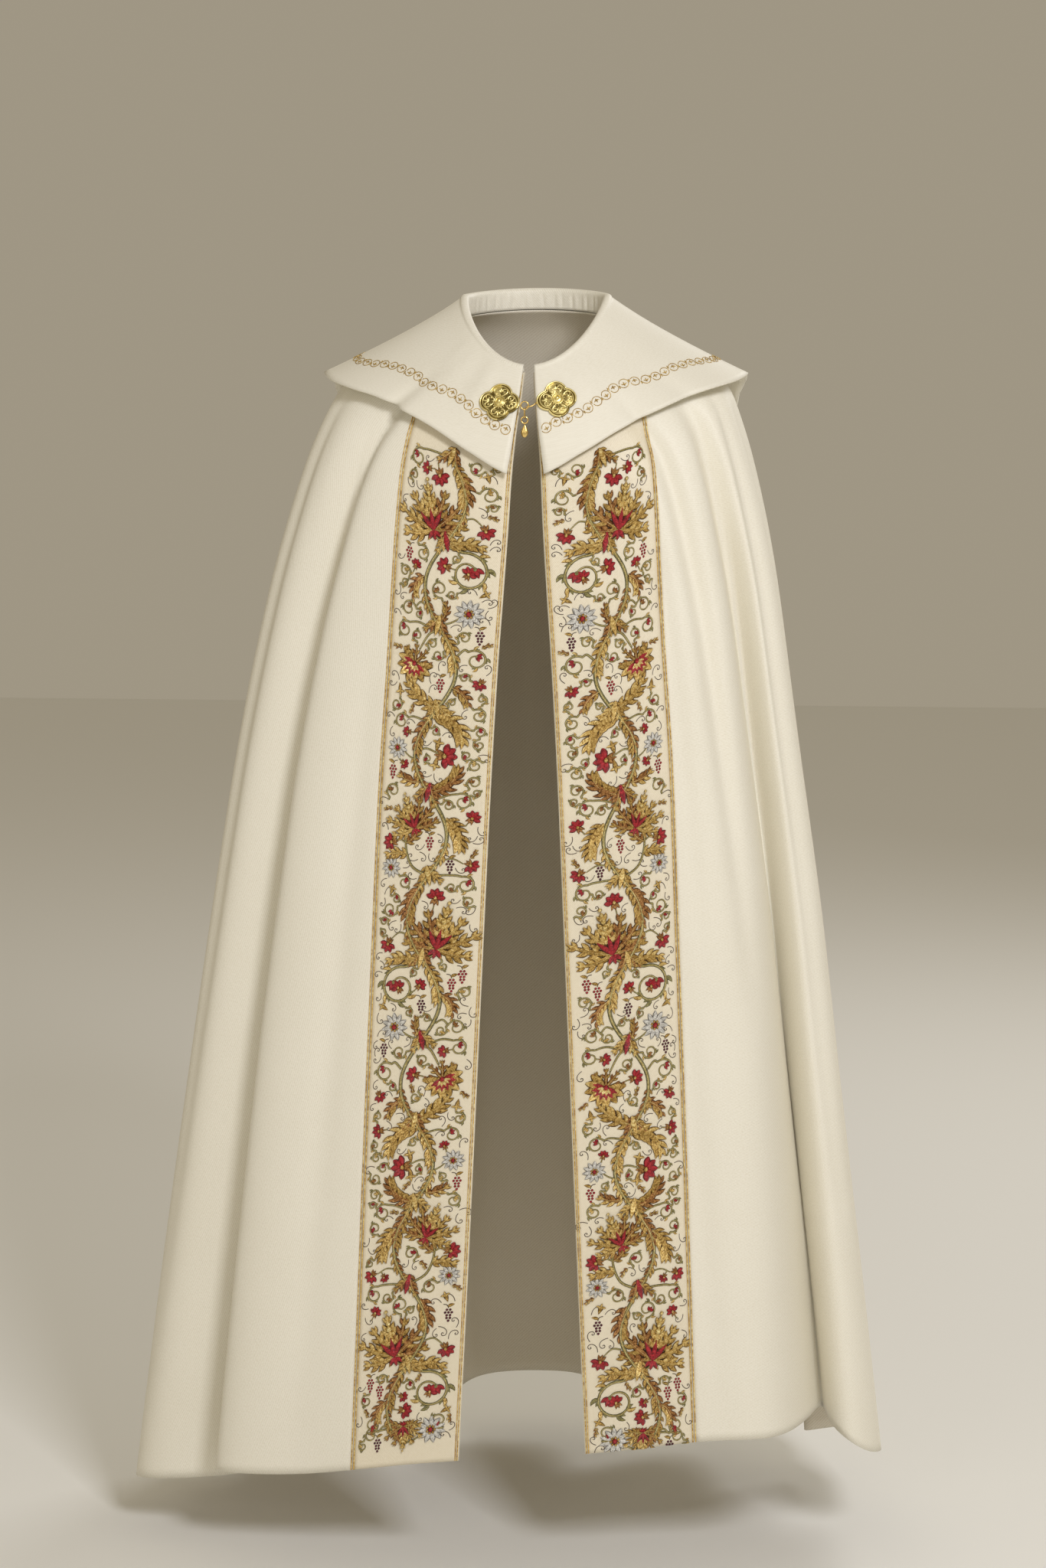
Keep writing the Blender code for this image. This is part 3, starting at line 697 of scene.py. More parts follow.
@functools.cache
def thread_materials() -> tuple[Material, ...]:
    """The materials of the threads, in the order of Thread.

    Returns:
        One material for each thread.
    """
    # Metallic machine threads glint between light and dark; the light and dark colours of every thread are
    # painted highlight and painted shade around its middle colour. Rayon threads are coloured and glossy.
    return tuple(ThreadFinish(*row).make() for row in (
        ("gold_metallic_thread", "FBE7A6", "D6AE5A", "8C6528", "5E4018", 0.50, 0.36),
        ("old_gold_metallic_thread", "E6C67C", "B08A40", "6E4C1C", "4C3214", 0.50, 0.38),
        ("bronze_metallic_thread", "CFA060", "955F2E", "552F12", "43260F", 0.45, 0.40),
        ("olive_rayon_thread", "B4AB72", "857D4A", "55502C", "453F22", 0.10, 0.42),
        ("crimson_rayon_thread", "C8343C", "98141F", "560A12", "4A0C12", 0.0, 0.40),
        ("plum_rayon_thread", "7A2A3C", "571A2B", "2E0D17", "260B13", 0.0, 0.42),
        ("white_grey_rayon_thread", "F2F0EA", "CFCCC4", "8F8C86", "5E5A58", 0.0, 0.45),
        ("brown_outline_thread", "6A5040", "4A382E", "2C211B", "2C211B", 0.0, 0.50),
        ("pale_gold_metallic_thread", "FBEFB8", "DDBD6C", "9A7630", "8A6A2C", 0.45, 0.34),
    ))


# Mesh helpers


def mesh_from(made: BMesh, name: str) -> Mesh:
    """Turns a finished bmesh into a mesh and frees it.

    Args:
        made: The bmesh.
        name: The mesh's name.

    Returns:
        The mesh.
    """
    mesh = bpy.data.meshes.new(name)
    made.to_mesh(mesh)
    made.free()
    return mesh


def point_places(mesh: Mesh) -> Array:
    """The places of a mesh's points.

    Args:
        mesh: The mesh.

    Returns:
        A row for each point, in metres.
    """
    flat = np.empty(len(mesh.vertices) * 3)
    mesh.vertices.foreach_get("co", flat)
    return flat.reshape(-1, 3)


def link_piece(name: str, mesh: Mesh, body: str, materials: Sequence[Material]) -> Object:
    """Makes a piece of the model from a mesh.

    Args:
        name: The piece's name.
        mesh: Its mesh, in world metres.
        body: The body that it rides on.
        materials: Its materials.

    Returns:
        The object.
    """
    made = bpy.data.objects.new(name, mesh)
    bpy.context.scene.collection.objects.link(made)
    for material in materials:
        mesh.materials.append(material)
    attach(made, body)
    return made


def cloth_mesh(name: str, lattice: Lattice) -> Mesh:
    """A grid laid over a lattice, with a UV map in metres.

    Args:
        name: The mesh's name.
        lattice: The surface.

    Returns:
        The mesh, faces outwards.
    """
    rows, columns = lattice.points.shape[:2]
    made = bmesh.new()
    bmesh.ops.create_grid(made, x_segments=columns - 1, y_segments=rows - 1, size=0.5)
    mesh = mesh_from(made, name)
    flat = point_places(mesh)
    j = np.rint((flat[:, 0] + 0.5) * (columns - 1)).astype(int)
    i = np.rint((0.5 - flat[:, 1]) * (rows - 1)).astype(int)
    mesh.vertices.foreach_set("co", lattice.points[i, j].ravel())
    u, v = lattice.flat_sizes()
    corner = np.empty(len(mesh.loops), int)
    mesh.loops.foreach_get("vertex_index", corner)
    layer = mesh.uv_layers.new(name="cloth")
    layer.data.foreach_set("uv", np.stack((u[i, j][corner], v[i, j][corner]), -1).ravel())
    mesh.update()
    middle = mesh.polygons[len(mesh.polygons) // 2]
    nearest = lattice.points[i, j][middle.vertices[0]] - lattice.towards
    if Vector(nearest).dot(middle.normal) < 0:
        mesh.flip_normals()
    mesh.shade_smooth()
    return mesh


def give_thickness(piece: Object, thickness: float, offset: float = -1.0) -> None:
    """Gives a cloth its thickness, with its second material on the inner face.

    Args:
        piece: The cloth.
        thickness: Its wall, in metres.
        offset: -1 to grow inwards and 1 to grow outwards.
    """
    wall = piece.modifiers.new("cloth thickness", "SOLIDIFY")
    wall.thickness = thickness
    wall.offset = offset
    wall.material_offset = 1


class StitchWork:
    """Raised stitches drawn in flat millimetres: x across, s down and height over the cloth.

    In the motifs, sizes are millimetres or shares of the motif's size. Angles are degrees, 0 to
    the right and 90 down.
    """

    COLUMNS = 3
    SUNK = 0.3  # The edges of a strip lie this far inside the cloth.

    def __init__(self) -> None:
        """Starts an empty piece of work, drawn unmirrored from the origin."""
        self.points: list[Array] = []
        self.stitches: list[Array] = []
        self.threads: list[Array] = []
        self.taken: list[Array] = []
        self.hand = 1.0
        self.start = 0.0

    def move(self, hand: float, start: float) -> None:
        """Draws what follows from a place down the band, mirrored where hand is -1."""
        self.hand, self.start = hand, start

    def strip(self, centre: Array, half: Array, crown: Array, thread: Thread, lift: float = 0.0) -> None:
        """Lays a domed strip of satin stitch along a line.

        Args:
            centre: The line's points, in millimetres.
            half: Half widths.
            crown: Height of the dome at each point.
            thread: The thread.
            lift: Height added to all of it.
        """
        centre = np.asarray(centre, float) * (self.hand, 1.0) + (0.0, self.start)
        half, crown = np.broadcast_to(half, len(centre)), np.broadcast_to(crown, len(centre))
        tangent = normalised(np.gradient(centre, axis=0))
        normal = np.stack((-tangent[:, 1], tangent[:, 0]), -1)
        run = run_along(centre)
        across = np.linspace(-1, 1, self.COLUMNS + 1)
        place = centre[:, None] + normal[:, None] * (half[:, None] * across)[..., None]
        dome = np.sqrt(1 - across**2) * crown[:, None] + lift - self.SUNK * np.abs(across) ** 6
        self.points.append(np.concatenate((place, dome[..., None]), -1))
        # A different number for each strip sets its flecks of painted highlight and painted shade apart from
        # its neighbours'.
        seed = (len(self.points) * 0.618) % 1.0 * 40.0
        parts = ((across + 1) / 2, run[:, None], seed)
        self.stitches.append(np.stack([np.broadcast_to(part, dome.shape) for part in parts], -1))
        self.threads.append(np.full(len(centre), thread.value))
        self.taken.append(np.concatenate((centre, half[:, None]), axis=1))

    def cord(
        self, points: Array, width: float, thread: Thread, lift: float = 0.0, taper: float = 0.0
    ) -> None:
        """A line of cord stitch, thinner towards its end by the share taper."""
        half = width / 2 * (1 - taper * np.linspace(0, 1, len(points)) ** 2)
        self.strip(points, half, half * 1.1, thread, lift)

    def curve(self, points: Sequence[Spot], steps: int = 7) -> Array:
        """Points on a smooth curve through a few."""
        return along(np.array(points, float), np.linspace(0, len(points) - 1, steps * (len(points) - 1) + 1))

    def stem(self, points: Array, width: float = 3.2, taper: float = 0.35) -> None:
        """A green stem with a pale line down its middle."""
        self.cord(points, width, OLIVE, 0.2, taper)
        self.cord(points[:-1], width * 0.38, PALE_GOLD, 0.2 + width * 0.34, taper)

    def petal(
        self, base: Spot, angle: float, length: float, width: float, thread: Thread,
        bend: float = 0.0, crown: float = 1.2, lift: float = 0.0, rows: int = 6, full: float = 0.8,
    ) -> None:
        """A plain petal or the lobe of a leaf.

        Args:
            base: Where it grows from.
            angle: Its direction.
            length: Its length in millimetres.
            width: Its full width.
            thread: The thread.
            bend: Degrees that it turns from base to tip.
            crown: Height of the dome.
            lift: Height added to all of it.
            rows: Faces along it.
            full: Below 1 its widest place is nearer the base, above 1 nearer the tip.
        """
        share = np.linspace(0, 1, rows + 1)
        centre = self.bent(base, angle + bend * share, length)
        half = width / 2 * np.sin(np.pi * np.clip(share, 0.03, 0.97) ** full) ** 0.75
        self.strip(centre, half, crown * np.sin(np.pi * np.clip(share, 0.08, 0.92)) ** 0.4, thread, lift)

    @staticmethod
    def bent(base: Spot, angles: Array, length: float) -> Array:
        """Points of a line of a length that turns through some angles, in degrees.

        Args:
            base: The first point.
            angles: The direction of each stretch.
            length: The line's length.

        Returns:
            The points.
        """
        turn = np.radians(angles)
        steps = round_about(turn) * (length / (len(turn) - 1))
        return np.asarray(base, float) + np.concatenate((np.zeros((1, 2)), np.cumsum(steps[:-1], axis=0)))

    def acanthus(
        self, base: Spot, angle: float, length: float, width: float, bend: float = 0.0,
        pairs: int = 5, light: Thread = GOLD, deep: Thread = OLD_GOLD, lift: float = 0.4,
    ) -> None:
        """A long leaf with pointed lobes on both sides of a rib.

        Args:
            base: Where it grows from.
            angle: Its direction.
            length: Its length in millimetres.
            width: Its full width.
            bend: Degrees that it turns from base to tip.
            pairs: Lobes on each side.
            light: The thread of the lobes on one side.
            deep: The thread of the body and of the lobes on the other side.
            lift: Height added to all of it.
        """
        rows = 14
        share = np.linspace(0, 1, rows + 1)
        turn = angle + bend * share**1.25
        centre = self.bent(base, turn, length * 0.88)
        half = width * 0.17 * np.sin(np.pi * np.clip(share, 0.04, 0.96) ** 0.75) ** 0.8 + 0.5
        self.strip(centre, half, half * 0.5, deep, lift)
        for k in range(pairs):
            q = 0.08 + 0.78 * k / (pairs - 1)
            i = round(q * rows)
            reach = width * 0.66 * math.sin(math.pi * (0.22 + 0.68 * q)) ** 0.6
            slim = 0.62 * length / pairs + 0.6
            for side, thread in ((-1, light), (1, deep)):
                self.petal(centre[i], turn[i] + side * (56 - 16 * q), reach, min(slim, reach * 0.52), thread,
                           -side * 30, 1.3, lift + 0.4 + 0.10 * k, 4)
        self.petal(centre[-4], turn[-4], length * 0.27, width * 0.26, light, bend * 0.3, 1.3, lift + 0.9, 4)
        self.cord(centre[:-2], 0.9 + width * 0.012, PALE_GOLD, lift + 1.5, 0.5)

    def dot(self, centre: Spot, radius: float, thread: Thread, lift: float = 0.0) -> None:
        """A small round knot.

        Args:
            centre: Its middle.
            radius: Its radius.
            thread: The thread.
            lift: Height added to it.
        """
        share = np.linspace(-1, 1, 5)
        line = np.asarray(centre, float) + np.stack((np.zeros(5), share * radius), -1)
        half = radius * np.sqrt(np.maximum(0.02, 1 - share**2))
        self.strip(line, half, half * 0.9, thread, lift)

    def spiral(
        self, lead: Sequence[Spot], centre: Spot, radius: float, angle: float,
        turn: float = 400.0, width: float = 3.0, hooks: int = 3, bud: Thread = CRIMSON,
    ) -> None:
        """A scrolled stem that ends in a bud, with small hooks on its outer side.

        Args:
            lead: Points that bring the stem to the scroll.
            centre: The scroll's centre.
            radius: Its largest radius.
            angle: Where it starts, in degrees.
            turn: Degrees that it turns, negative to wind the other way.
            width: The stem's width.
            hooks: How many hooks it has.
            bud: The thread of its bud.
        """
        share = np.linspace(0, 1, max(16, int(abs(turn) / 14)))
        around = np.radians(angle + turn * share)
        shrink = radius * (1 - 0.62 * share**0.85)
        scroll = np.asarray(centre, float) + round_about(around) * shrink[:, None]
        line = np.concatenate((self.curve([*lead, scroll[0]])[:-1], scroll)) if len(lead) else scroll
        self.stem(line, width, 0.4)
        wind = math.copysign(1.0, turn)
        for k in range(hooks):
            i = int(len(scroll) * (0.10 + 0.58 * k / max(1, hooks)))
            out = math.degrees(around[i])
            thread = OLIVE if k % 2 else GOLD
            long, wide = radius * 0.42 + 2, radius * 0.16 + 1.6
            self.petal(scroll[i], out + wind * 35, long, wide, thread, wind * 60, 1.0, 0.3, 4)
            long, wide = radius * 0.34 + 2, radius * 0.14 + 1.4
            self.petal(scroll[i], out + wind * 100, long, wide, OLIVE, -wind * 40, 0.9, 0.3, 4)
        self.bud(scroll[-1], math.degrees(around[-1]) + wind * 100, radius * 0.36 + 2.2, bud)

    def bud(self, base: Spot, angle: float, size: float, thread: Thread) -> None:
        """A small bud of three petals in a green cup.

        Args:
            base: Where it grows from.
            angle: Its direction.
            size: The length of a petal.
            thread: The thread.
        """
        for spread in (-48, 0, 48):
            self.petal(base, angle + spread, size, size * 0.62, thread, -spread * 0.4, 1.3, 0.7, 4)
        self.dot(base, size * 0.24, OLIVE, 1.0)

    def fan(self, base: Spot, angle: float, size: float, light: Thread, deep: Thread) -> None:
        """A fan of pointed leaves with a crimson heart and a knobbed seed head.

        Args:
            base: Where the leaves meet.
            angle: The direction of the middle leaf, in degrees.
            size: The length of the middle leaf.
            light: The brighter thread.
            deep: The deeper thread.
        """
        base = np.asarray(base, float)
        for spread, length in ((-104, 0.80), (104, 0.80), (-66, 1.0), (66, 1.0), (-32, 0.92), (32, 0.92)):
            sides = (light, deep) if spread > 0 else (deep, BRONZE)
            lift = 0.3 + (104 - abs(spread)) / 90
            bend = -spread * 0.34
            self.acanthus(base, angle + spread, size * length, size * 0.40, bend, 4, *sides, lift)
        self.acanthus(base, angle, size, size * 0.40, 0, 5, light, light, 1.5)
        ahead = np.array((math.cos(math.radians(angle)), math.sin(math.radians(angle))))
        for k in range(4):
            place = base + ahead * size * (0.62 + 0.13 * k)
            self.dot(place, size * (0.075 - 0.010 * k), PALE_GOLD, 2.9)
        for spread in (-34, 0, 34):
            self.petal(base, angle + spread, size * 0.44, size * 0.13, CRIMSON, 0, 1.3, 3.0, 5)
        for spread in (-140, 180, 140):
            self.petal(base, angle + spread, size * 0.22, size * 0.12, CRIMSON, 0, 1.2, 1.6, 4)

    def daisy(self, centre: Spot, size: float) -> None:
        """A white flower of many petals with a gold and crimson eye.

        Args:
            centre: Its middle.
            size: The length of a petal.
        """
        for k in range(11):
            lift = 0.8 + 0.2 * (k % 2)
            turn = 9 + k * 360 / 11
            self.petal(centre, turn, size, size * 0.40, WHITE, 8, 1.2, lift, 5, 1.25)
        for k in range(7):
            turn = math.radians(k * 360 / 7)
            place = np.asarray(centre) + np.array((math.cos(turn), math.sin(turn))) * size * 0.26
            self.dot(place, size * 0.11, OLD_GOLD, 2.0)
        self.dot(centre, size * 0.2, CRIMSON, 2.3)

    def peony(self, centre: Spot, size: float, angle: float) -> None:
        """A full flower: lobed gold petals outside, crimson ones inside, on a cup of leaves.

        Args:
            centre: Its middle.
            size: Its radius.
            angle: The direction that it faces.
        """
        for spread in (120, 165, 205, 240):
            self.acanthus(centre, angle + spread, size * 1.15, size * 0.55, 0, 3, *DEEP, 0.2)
        for k in range(9):
            thread = GOLD if k % 2 else OLD_GOLD
            turn, lift = angle - 112 + 28 * k, 0.9 + 0.2 * (k % 2)
            self.petal(centre, turn, size * 1.12, size * 0.52, thread, 6, 1.5, lift, 6, 1.3)
        for k in range(7):
            turn = angle - 84 + 28 * k
            self.petal(centre, turn, size * 0.74, size * 0.34, CRIMSON, 0, 1.4, 1.9, 5, 1.2)
        for k in range(5):
            turn = angle - 60 + 30 * k
            self.petal(centre, turn, size * 0.46, size * 0.24, PALE_GOLD, 0, 1.2, 2.7, 4, 1.2)
        self.dot(centre, size * 0.16, CRIMSON, 3.3)

    def blossom(self, centre: Spot, size: float, angle: float) -> None:
        """A crimson flower over a small bronze cup.

        Args:
            centre: Its middle.
            size: The length of a petal.
            angle: The direction that it faces.
        """
        for spread in (150, 180, 210):
            self.petal(centre, angle + spread, size * 0.85, size * 0.40, BRONZE, 0, 1.2, 0.5, 5)
        for spread in (-84, -42, 0, 42, 84):
            turn, bend = angle + spread, -spread * 0.1
            self.petal(centre, turn, size, size * 0.60, CRIMSON, bend, 1.5, 1.0, 5, 1.3)
        self.dot(centre, size * 0.2, GOLD, 2.6)

    def trumpet(self, base: Spot, angle: float, size: float) -> None:
        """A gold calyx that flares into three lobes.

        Args:
            base: Where it grows from.
            angle: Its direction.
            size: The length of the calyx.
        """
        self.petal(base, angle, size, size * 0.42, OLD_GOLD, 0, 1.5, 0.5, 6, 1.2)
        tip = self.bent(base, np.array((angle, angle)), size * 0.66)[-1]
        for spread in (-62, 0, 62):
            self.petal(tip, angle + spread, size * 0.50, size * 0.26, GOLD, spread * 0.6, 1.3, 1.2, 5)

    def berries(self, top: Spot, thread: Thread = PLUM) -> None:
        """A hanging cluster of berries with a curled stalk and a leaf.

        Args:
            top: The middle of the top row.
            thread: The thread of the berries.
        """
        top = np.asarray(top, float)
        for line, count in enumerate((2, 3, 2, 2, 1)):
            for k in range(count):
                self.dot(top + ((k - (count - 1) / 2) * 3.7, line * 3.4), 1.6, thread, 0.3)
        self.cord(self.curve((top + (0, -2), top + (2, -6), top + (6, -7))), 0.9, OUTLINE, 0.3)
        self.petal(top + (1, -4), -150, 8, 4.2, OLD_GOLD, -25, 0.9, 0.3, 4)

    def tendril(self, start: Spot, size: float, angle: float, turn: float = 520.0) -> None:
        """A hair-thin tendril that ends in a spiral.

        Args:
            start: Where it grows from.
            size: Its rough length.
            angle: Its first direction.
            turn: Degrees that it turns.
        """
        share = np.linspace(0, 1, 24)
        around = np.radians(angle + turn * share**1.6)
        steps = round_about(around) * (size * 0.22 * (1.12 - share))[:, None]
        self.cord(np.asarray(start, float) + np.cumsum(steps, axis=0), 0.9, OUTLINE, 0.2)

    def flat_mesh(self, name: str) -> Mesh:
        """Lays every strip on one long grid and cuts it apart between them.

        Args:
            name: The mesh's name.

        Returns:
            The mesh, still flat.
        """
        points, stitches = np.concatenate(self.points), np.concatenate(self.stitches)
        rows = len(points) - 1
        made = bmesh.new()
        bmesh.ops.create_grid(made, x_segments=self.COLUMNS, y_segments=rows, size=0.5)
        mesh = bpy.data.meshes.new(name)
        made.to_mesh(mesh)
        made.clear()
        flat = point_places(mesh)
        j = np.rint((flat[:, 0] + 0.5) * self.COLUMNS).astype(int)
        i = np.rint((0.5 - flat[:, 1]) * rows).astype(int)
        mesh.vertices.foreach_set("co", points[i, j].ravel())
        layer = mesh.attributes.new("stitch", "FLOAT_VECTOR", "POINT")
        layer.data.foreach_set("vector", stitches[i, j].ravel())
        corner = np.empty(len(mesh.loops), int)
        mesh.loops.foreach_get("vertex_index", corner)
        row = i[corner].reshape(-1, 4)
        strip = np.repeat(np.arange(len(self.points)), [len(part) for part in self.points])
        between = strip[row.min(axis=1)] != strip[row.max(axis=1)]
        mesh.polygons.foreach_set("material_index", np.concatenate(self.threads)[row.min(axis=1)])
        made.from_mesh(mesh)
        made.faces.ensure_lookup_table()
        bmesh.ops.delete(made, geom=[made.faces[k] for k in np.flatnonzero(between)], context="FACES_ONLY")
        made.to_mesh(mesh)
        made.free()
        mesh.shade_smooth()
        return mesh


def laid_mesh(flat: Mesh, name: str, place: Callable[[Array], Array]) -> Mesh:
    """Lays flat stitches on a cloth.

    Args:
        flat: The flat mesh, in millimetres.
        name: The new mesh's name.
        place: Gives world points from rows of x, s and height in millimetres.

    Returns:
        The mesh on the cloth.
    """
    mesh = flat.copy()
    mesh.name = name
    mesh.vertices.foreach_set("co", place(point_places(mesh)).ravel())
    mesh.update()
    return mesh


def faces_outwards(mesh: Mesh, towards: Array) -> None:
    """Turns a laid mesh round if most of its faces look towards a point inside the garment.

    Args:
        mesh: The mesh.
        towards: The point inside.
    """
    normals = np.empty(len(mesh.polygons) * 3)
    centres = np.empty(len(mesh.polygons) * 3)
    mesh.polygons.foreach_get("normal", normals)
    mesh.polygons.foreach_get("center", centres)
    outward = centres.reshape(-1, 3) - towards
    if np.sum(normals.reshape(-1, 3) * outward, axis=1).mean() < 0:
        mesh.flip_normals()


# The pieces


SEAM_GAP = 0.0003
HEM_SAMPLES = 2000


@dataclass
class Mantle:
    """The broad cloth from band to band round the back, with its lining."""

    drape: Drape
    columns: int = 330
    rows: int = 96
    thickness: float = 0.0016
    shoulder_level: float = 5.0
    # Wool satin has a soft, even glow and a fine diagonal grain.
    outer: ClothFinish = ClothFinish("ivory_wool_satin_woven", "EEEADD", "DED8C6")
    # Cotton twill for the lining is matt and shows its ribs.
    inner: ClothFinish = ClothFinish("cream_lining_twill", "EDE6D6", "DBD1BC", 2.2, 0.6, 0.1, 0.15)

    def lattice(self) -> Lattice:
        """The points of the mantle's outer face, a third of its rows above the shoulder level.

        Returns:
            The lattice.
        """
        upper = self.rows // 3
        level = np.concatenate((
            np.linspace(0, self.shoulder_level, upper, endpoint=False),
            np.linspace(self.shoulder_level, LAST, self.rows - upper),
        ))
        row = self.drape.section(level)
        gap = np.degrees(SEAM_GAP / row.front_depth)
        right = self.drape.angle_beside(row.seam, level, -1) + gap
        left = self.drape.angle_beside(row.seam, level, 1) + gap
        share = self.even_shares(right[-1], left[-1])
        angle = -(right[:, None] + (360.0 - right - left)[:, None] * share[None, :])
        return Lattice(self.drape.points(angle, level[:, None]), INSIDE)

    def even_shares(self, right: float, left: float) -> Array:
        """Shares round the hem that cut it into nearly equal stretches.

        Args:
            right: The right seam's angle at the hem.
            left: The left seam's angle at the hem.

        Returns:
            The shares, from 0 to 1.
        """
        share = np.linspace(0, 1, HEM_SAMPLES)
        angle = -(right + (360.0 - right - left) * share)
        hem = self.drape.points(angle, np.full(HEM_SAMPLES, float(LAST)))
        run = run_along(hem)
        return np.interp(np.linspace(0, run[-1], self.columns + 1), run, share)

    def build(self) -> Object:
        """Builds the mantle.

        Returns:
            The cloth.
        """
        mesh = cloth_mesh("mantle_cloth", self.lattice())
        finishes = [self.outer.make(), self.inner.make()]
        piece = link_piece(mesh.name, mesh, "cope", finishes)
        give_thickness(piece, self.thickness)
        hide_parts("mantle_right", "mantle_back_right", "mantle_back_left", "mantle_left")
        return piece


@dataclass
class FrontBand:
    """A satin band down one front edge. side is 1 on the wearer's left and -1 on the right."""

    drape: Drape
    side: int
    outer: Material
    inner: Material
    columns: int = 16
    rows: int = 190
    thickness: float = 0.0018

    def __post_init__(self) -> None:
        """Works out the band's surface and its lengths."""
        self.name = "left" if self.side > 0 else "right"
        level = np.linspace(0, LAST, self.rows + 1)
        across = np.linspace(0, 1, self.columns + 1)
        self.surface = Lattice(self.points(across[None, :], level[:, None]), INSIDE)
        middle = self.surface.points[:, self.columns // 2]
        self.run = run_along(middle) / MM
        self.width = np.linalg.norm(self.surface.points[:, -1] - self.surface.points[:, 0], axis=-1) / MM

    def points(self, across: Array, level: Array) -> Array:
        """Points of the band from its front edge, across 0, to its seam, across 1.

        Args:
            across: Shares across the band.
            level: Levels down the cloth.

        Returns:
            The points, in metres.
        """
        level = np.asarray(level, float)
        row = self.drape.section(level)
        edge = self.drape.angle_beside(row.edge, level, self.side)
        seam = self.drape.angle_beside(row.seam, level, self.side)
        return self.drape.points(self.side * (edge + (seam - edge) * across), level)

    def place(self, flat: Array) -> Array:
        """World points of flat stitches.

        Args:
            flat: Rows of millimetres across from the middle, down from the neck, and over the cloth.

        Returns:
            The points.
        """
        t = np.interp(flat[:, 1], self.run, np.linspace(0, 1, len(self.run)))
        width = np.interp(flat[:, 1], self.run, self.width)
        return self.surface.at(0.5 + flat[:, 0] / width, t, flat[:, 2] * MM)

    def build(self) -> None:
        """Builds the band's cloth, in place of its node."""
        mesh = cloth_mesh(f"band_cloth_{self.name}", self.surface)
        piece = link_piece(mesh.name, mesh, "cope", [self.outer, self.inner])
        give_thickness(piece, self.thickness)
        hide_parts(f"band_{self.name}")


@dataclass
class TwistedCords:
    """Two twisted gold cords side by side, each of two strands, along a line of a band."""

    band: FrontBand
    at_seam: bool
    strand: float
    pitch: float
    apart: float
    inset: float = 0.0
    steps_per_turn: int = 7
    sides: int = 4
    top_level: float = 0.12
    hem_level: float = LAST - 0.004
    grip: float = 0.95  # Below 1 the two strands of a cord press into each other.
    height: float = 1.9  # Of the cord's middle over the cloth, in strand radii.

    def build(self) -> None:
        """Builds the cords as one mesh, in place of their node."""
        band = self.band
        level = np.linspace(self.top_level, self.hem_level, 400)
        row = band.drape.section(level)
        across = np.ones_like(level) if self.at_seam else self.inset / (row.seam - row.edge)
        line = band.points(across, level)
        step = 0.01
        beside = normalised(band.points(across + step, level) - line)
        out = normalised(np.cross(np.gradient(line, axis=0), beside))
        out = np.where(np.sum(out * (line - INSIDE), -1, keepdims=True) > 0, out, -out)
        run = run_along(line)
        count = int(run[-1] / self.pitch * self.steps_per_turn)
        along_run = np.linspace(0, run[-1], count)
        line, beside, out = (
            np.stack([np.interp(along_run, run, rows[:, k]) for k in range(3)], -1)
            for rows in (line, beside, out)
        )
        turn = along_run / self.pitch * math.tau
        made = bmesh.new()
        for side in (-1, 1):
            centre = line + beside * (side * self.apart / 2) + out * (self.strand * self.height)
            for start in (0.0, math.pi):
                swing = turn * side + start
                swung = beside * np.cos(swing)[:, None] + out * np.sin(swing)[:, None]
                path = centre + swung * self.strand * self.grip
                tube(made, path, self.strand, self.sides, out)
        close_tubes(made)
        kind = "seam" if self.at_seam else "edge"
        name = f"{kind}_cords_{band.name}"
        piece = link_piece(name, mesh_from(made, name), "cope", [gold_cord_material()])
        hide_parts(f"{kind}_cord_{band.name}")


@functools.cache
def gold_cord_material() -> Material:
    """The metallic thread of the cords, with painted highlights and painted shade in flecks of noise about
    one turn of a strand long.

    Returns:
        The material.
    """
    made, add, shader = new_material("gold_cord_thread_twisted")
    where = add("TexCoord").outputs["Object"]
    glint_fleck = add(
        "TexNoise", {}, {"Vector": where, "Scale": CORD_GLINT_FLECKS_PER_METRE, "Detail": 2.0}
    ).outputs["Fac"]
    # The ramp runs from painted shade through the cord's gold to painted highlight.
    colour = colour_ramp(add, glint_fleck, ((0.34, "B78C3A"), (0.50, "E8C56C"), (0.66, "FCEDB4")))
    feed(shader, {"Base Color": colour, "Metallic": 0.45, "Roughness": 0.36})
    return made


def tube(
    made: BMesh, path: Array, radius: float | Array, sides: int, up: Array, closed: bool = False
) -> list[BMVert]:
    """Wraps a grid round a path as a tube.

    Args:
        made: The mesh that it joins.
        path: The path's points.
        radius: The tube's radius, or one for each point.
        sides: Faces round it.
        up: A direction for each point, or one for all, that is never along the path.
        closed: Whether the path's end meets its start.

    Returns:
        The new vertices.
    """
    count = len(path) - 1
    tangent = np.gradient(path, axis=0)
    if closed:
        tangent[0] = tangent[-1] = path[1] - path[-2]
    tangent = normalised(tangent)
    across = normalised(np.cross(tangent, np.broadcast_to(up, path.shape)))
    upward = np.cross(across, tangent)
    radius = np.broadcast_to(radius, len(path))
    grid = bmesh.ops.create_grid(made, x_segments=sides, y_segments=count, size=0.5)["verts"]
    for point in grid:
        i = round((0.5 - point.co.y) * count)
        turn = (point.co.x + 0.5) * math.tau
        place = path[i] + radius[i] * (across[i] * math.cos(turn) + upward[i] * math.sin(turn))
        point.co = place
    faces = {face for point in grid for face in point.link_faces}
    for face in faces:
        face.smooth = True
    bmesh.ops.recalc_face_normals(made, faces=list(faces))
    return grid


def close_tubes(made: BMesh) -> None:
    """Merges the seam of every tube in a mesh and closes the open ends.

    Args:
        made: The mesh.
    """
    bmesh.ops.remove_doubles(made, verts=made.verts, dist=WELD)
    ends = [edge for edge in made.edges if edge.is_boundary]
    bmesh.ops.holes_fill(made, edges=ends, sides=16)


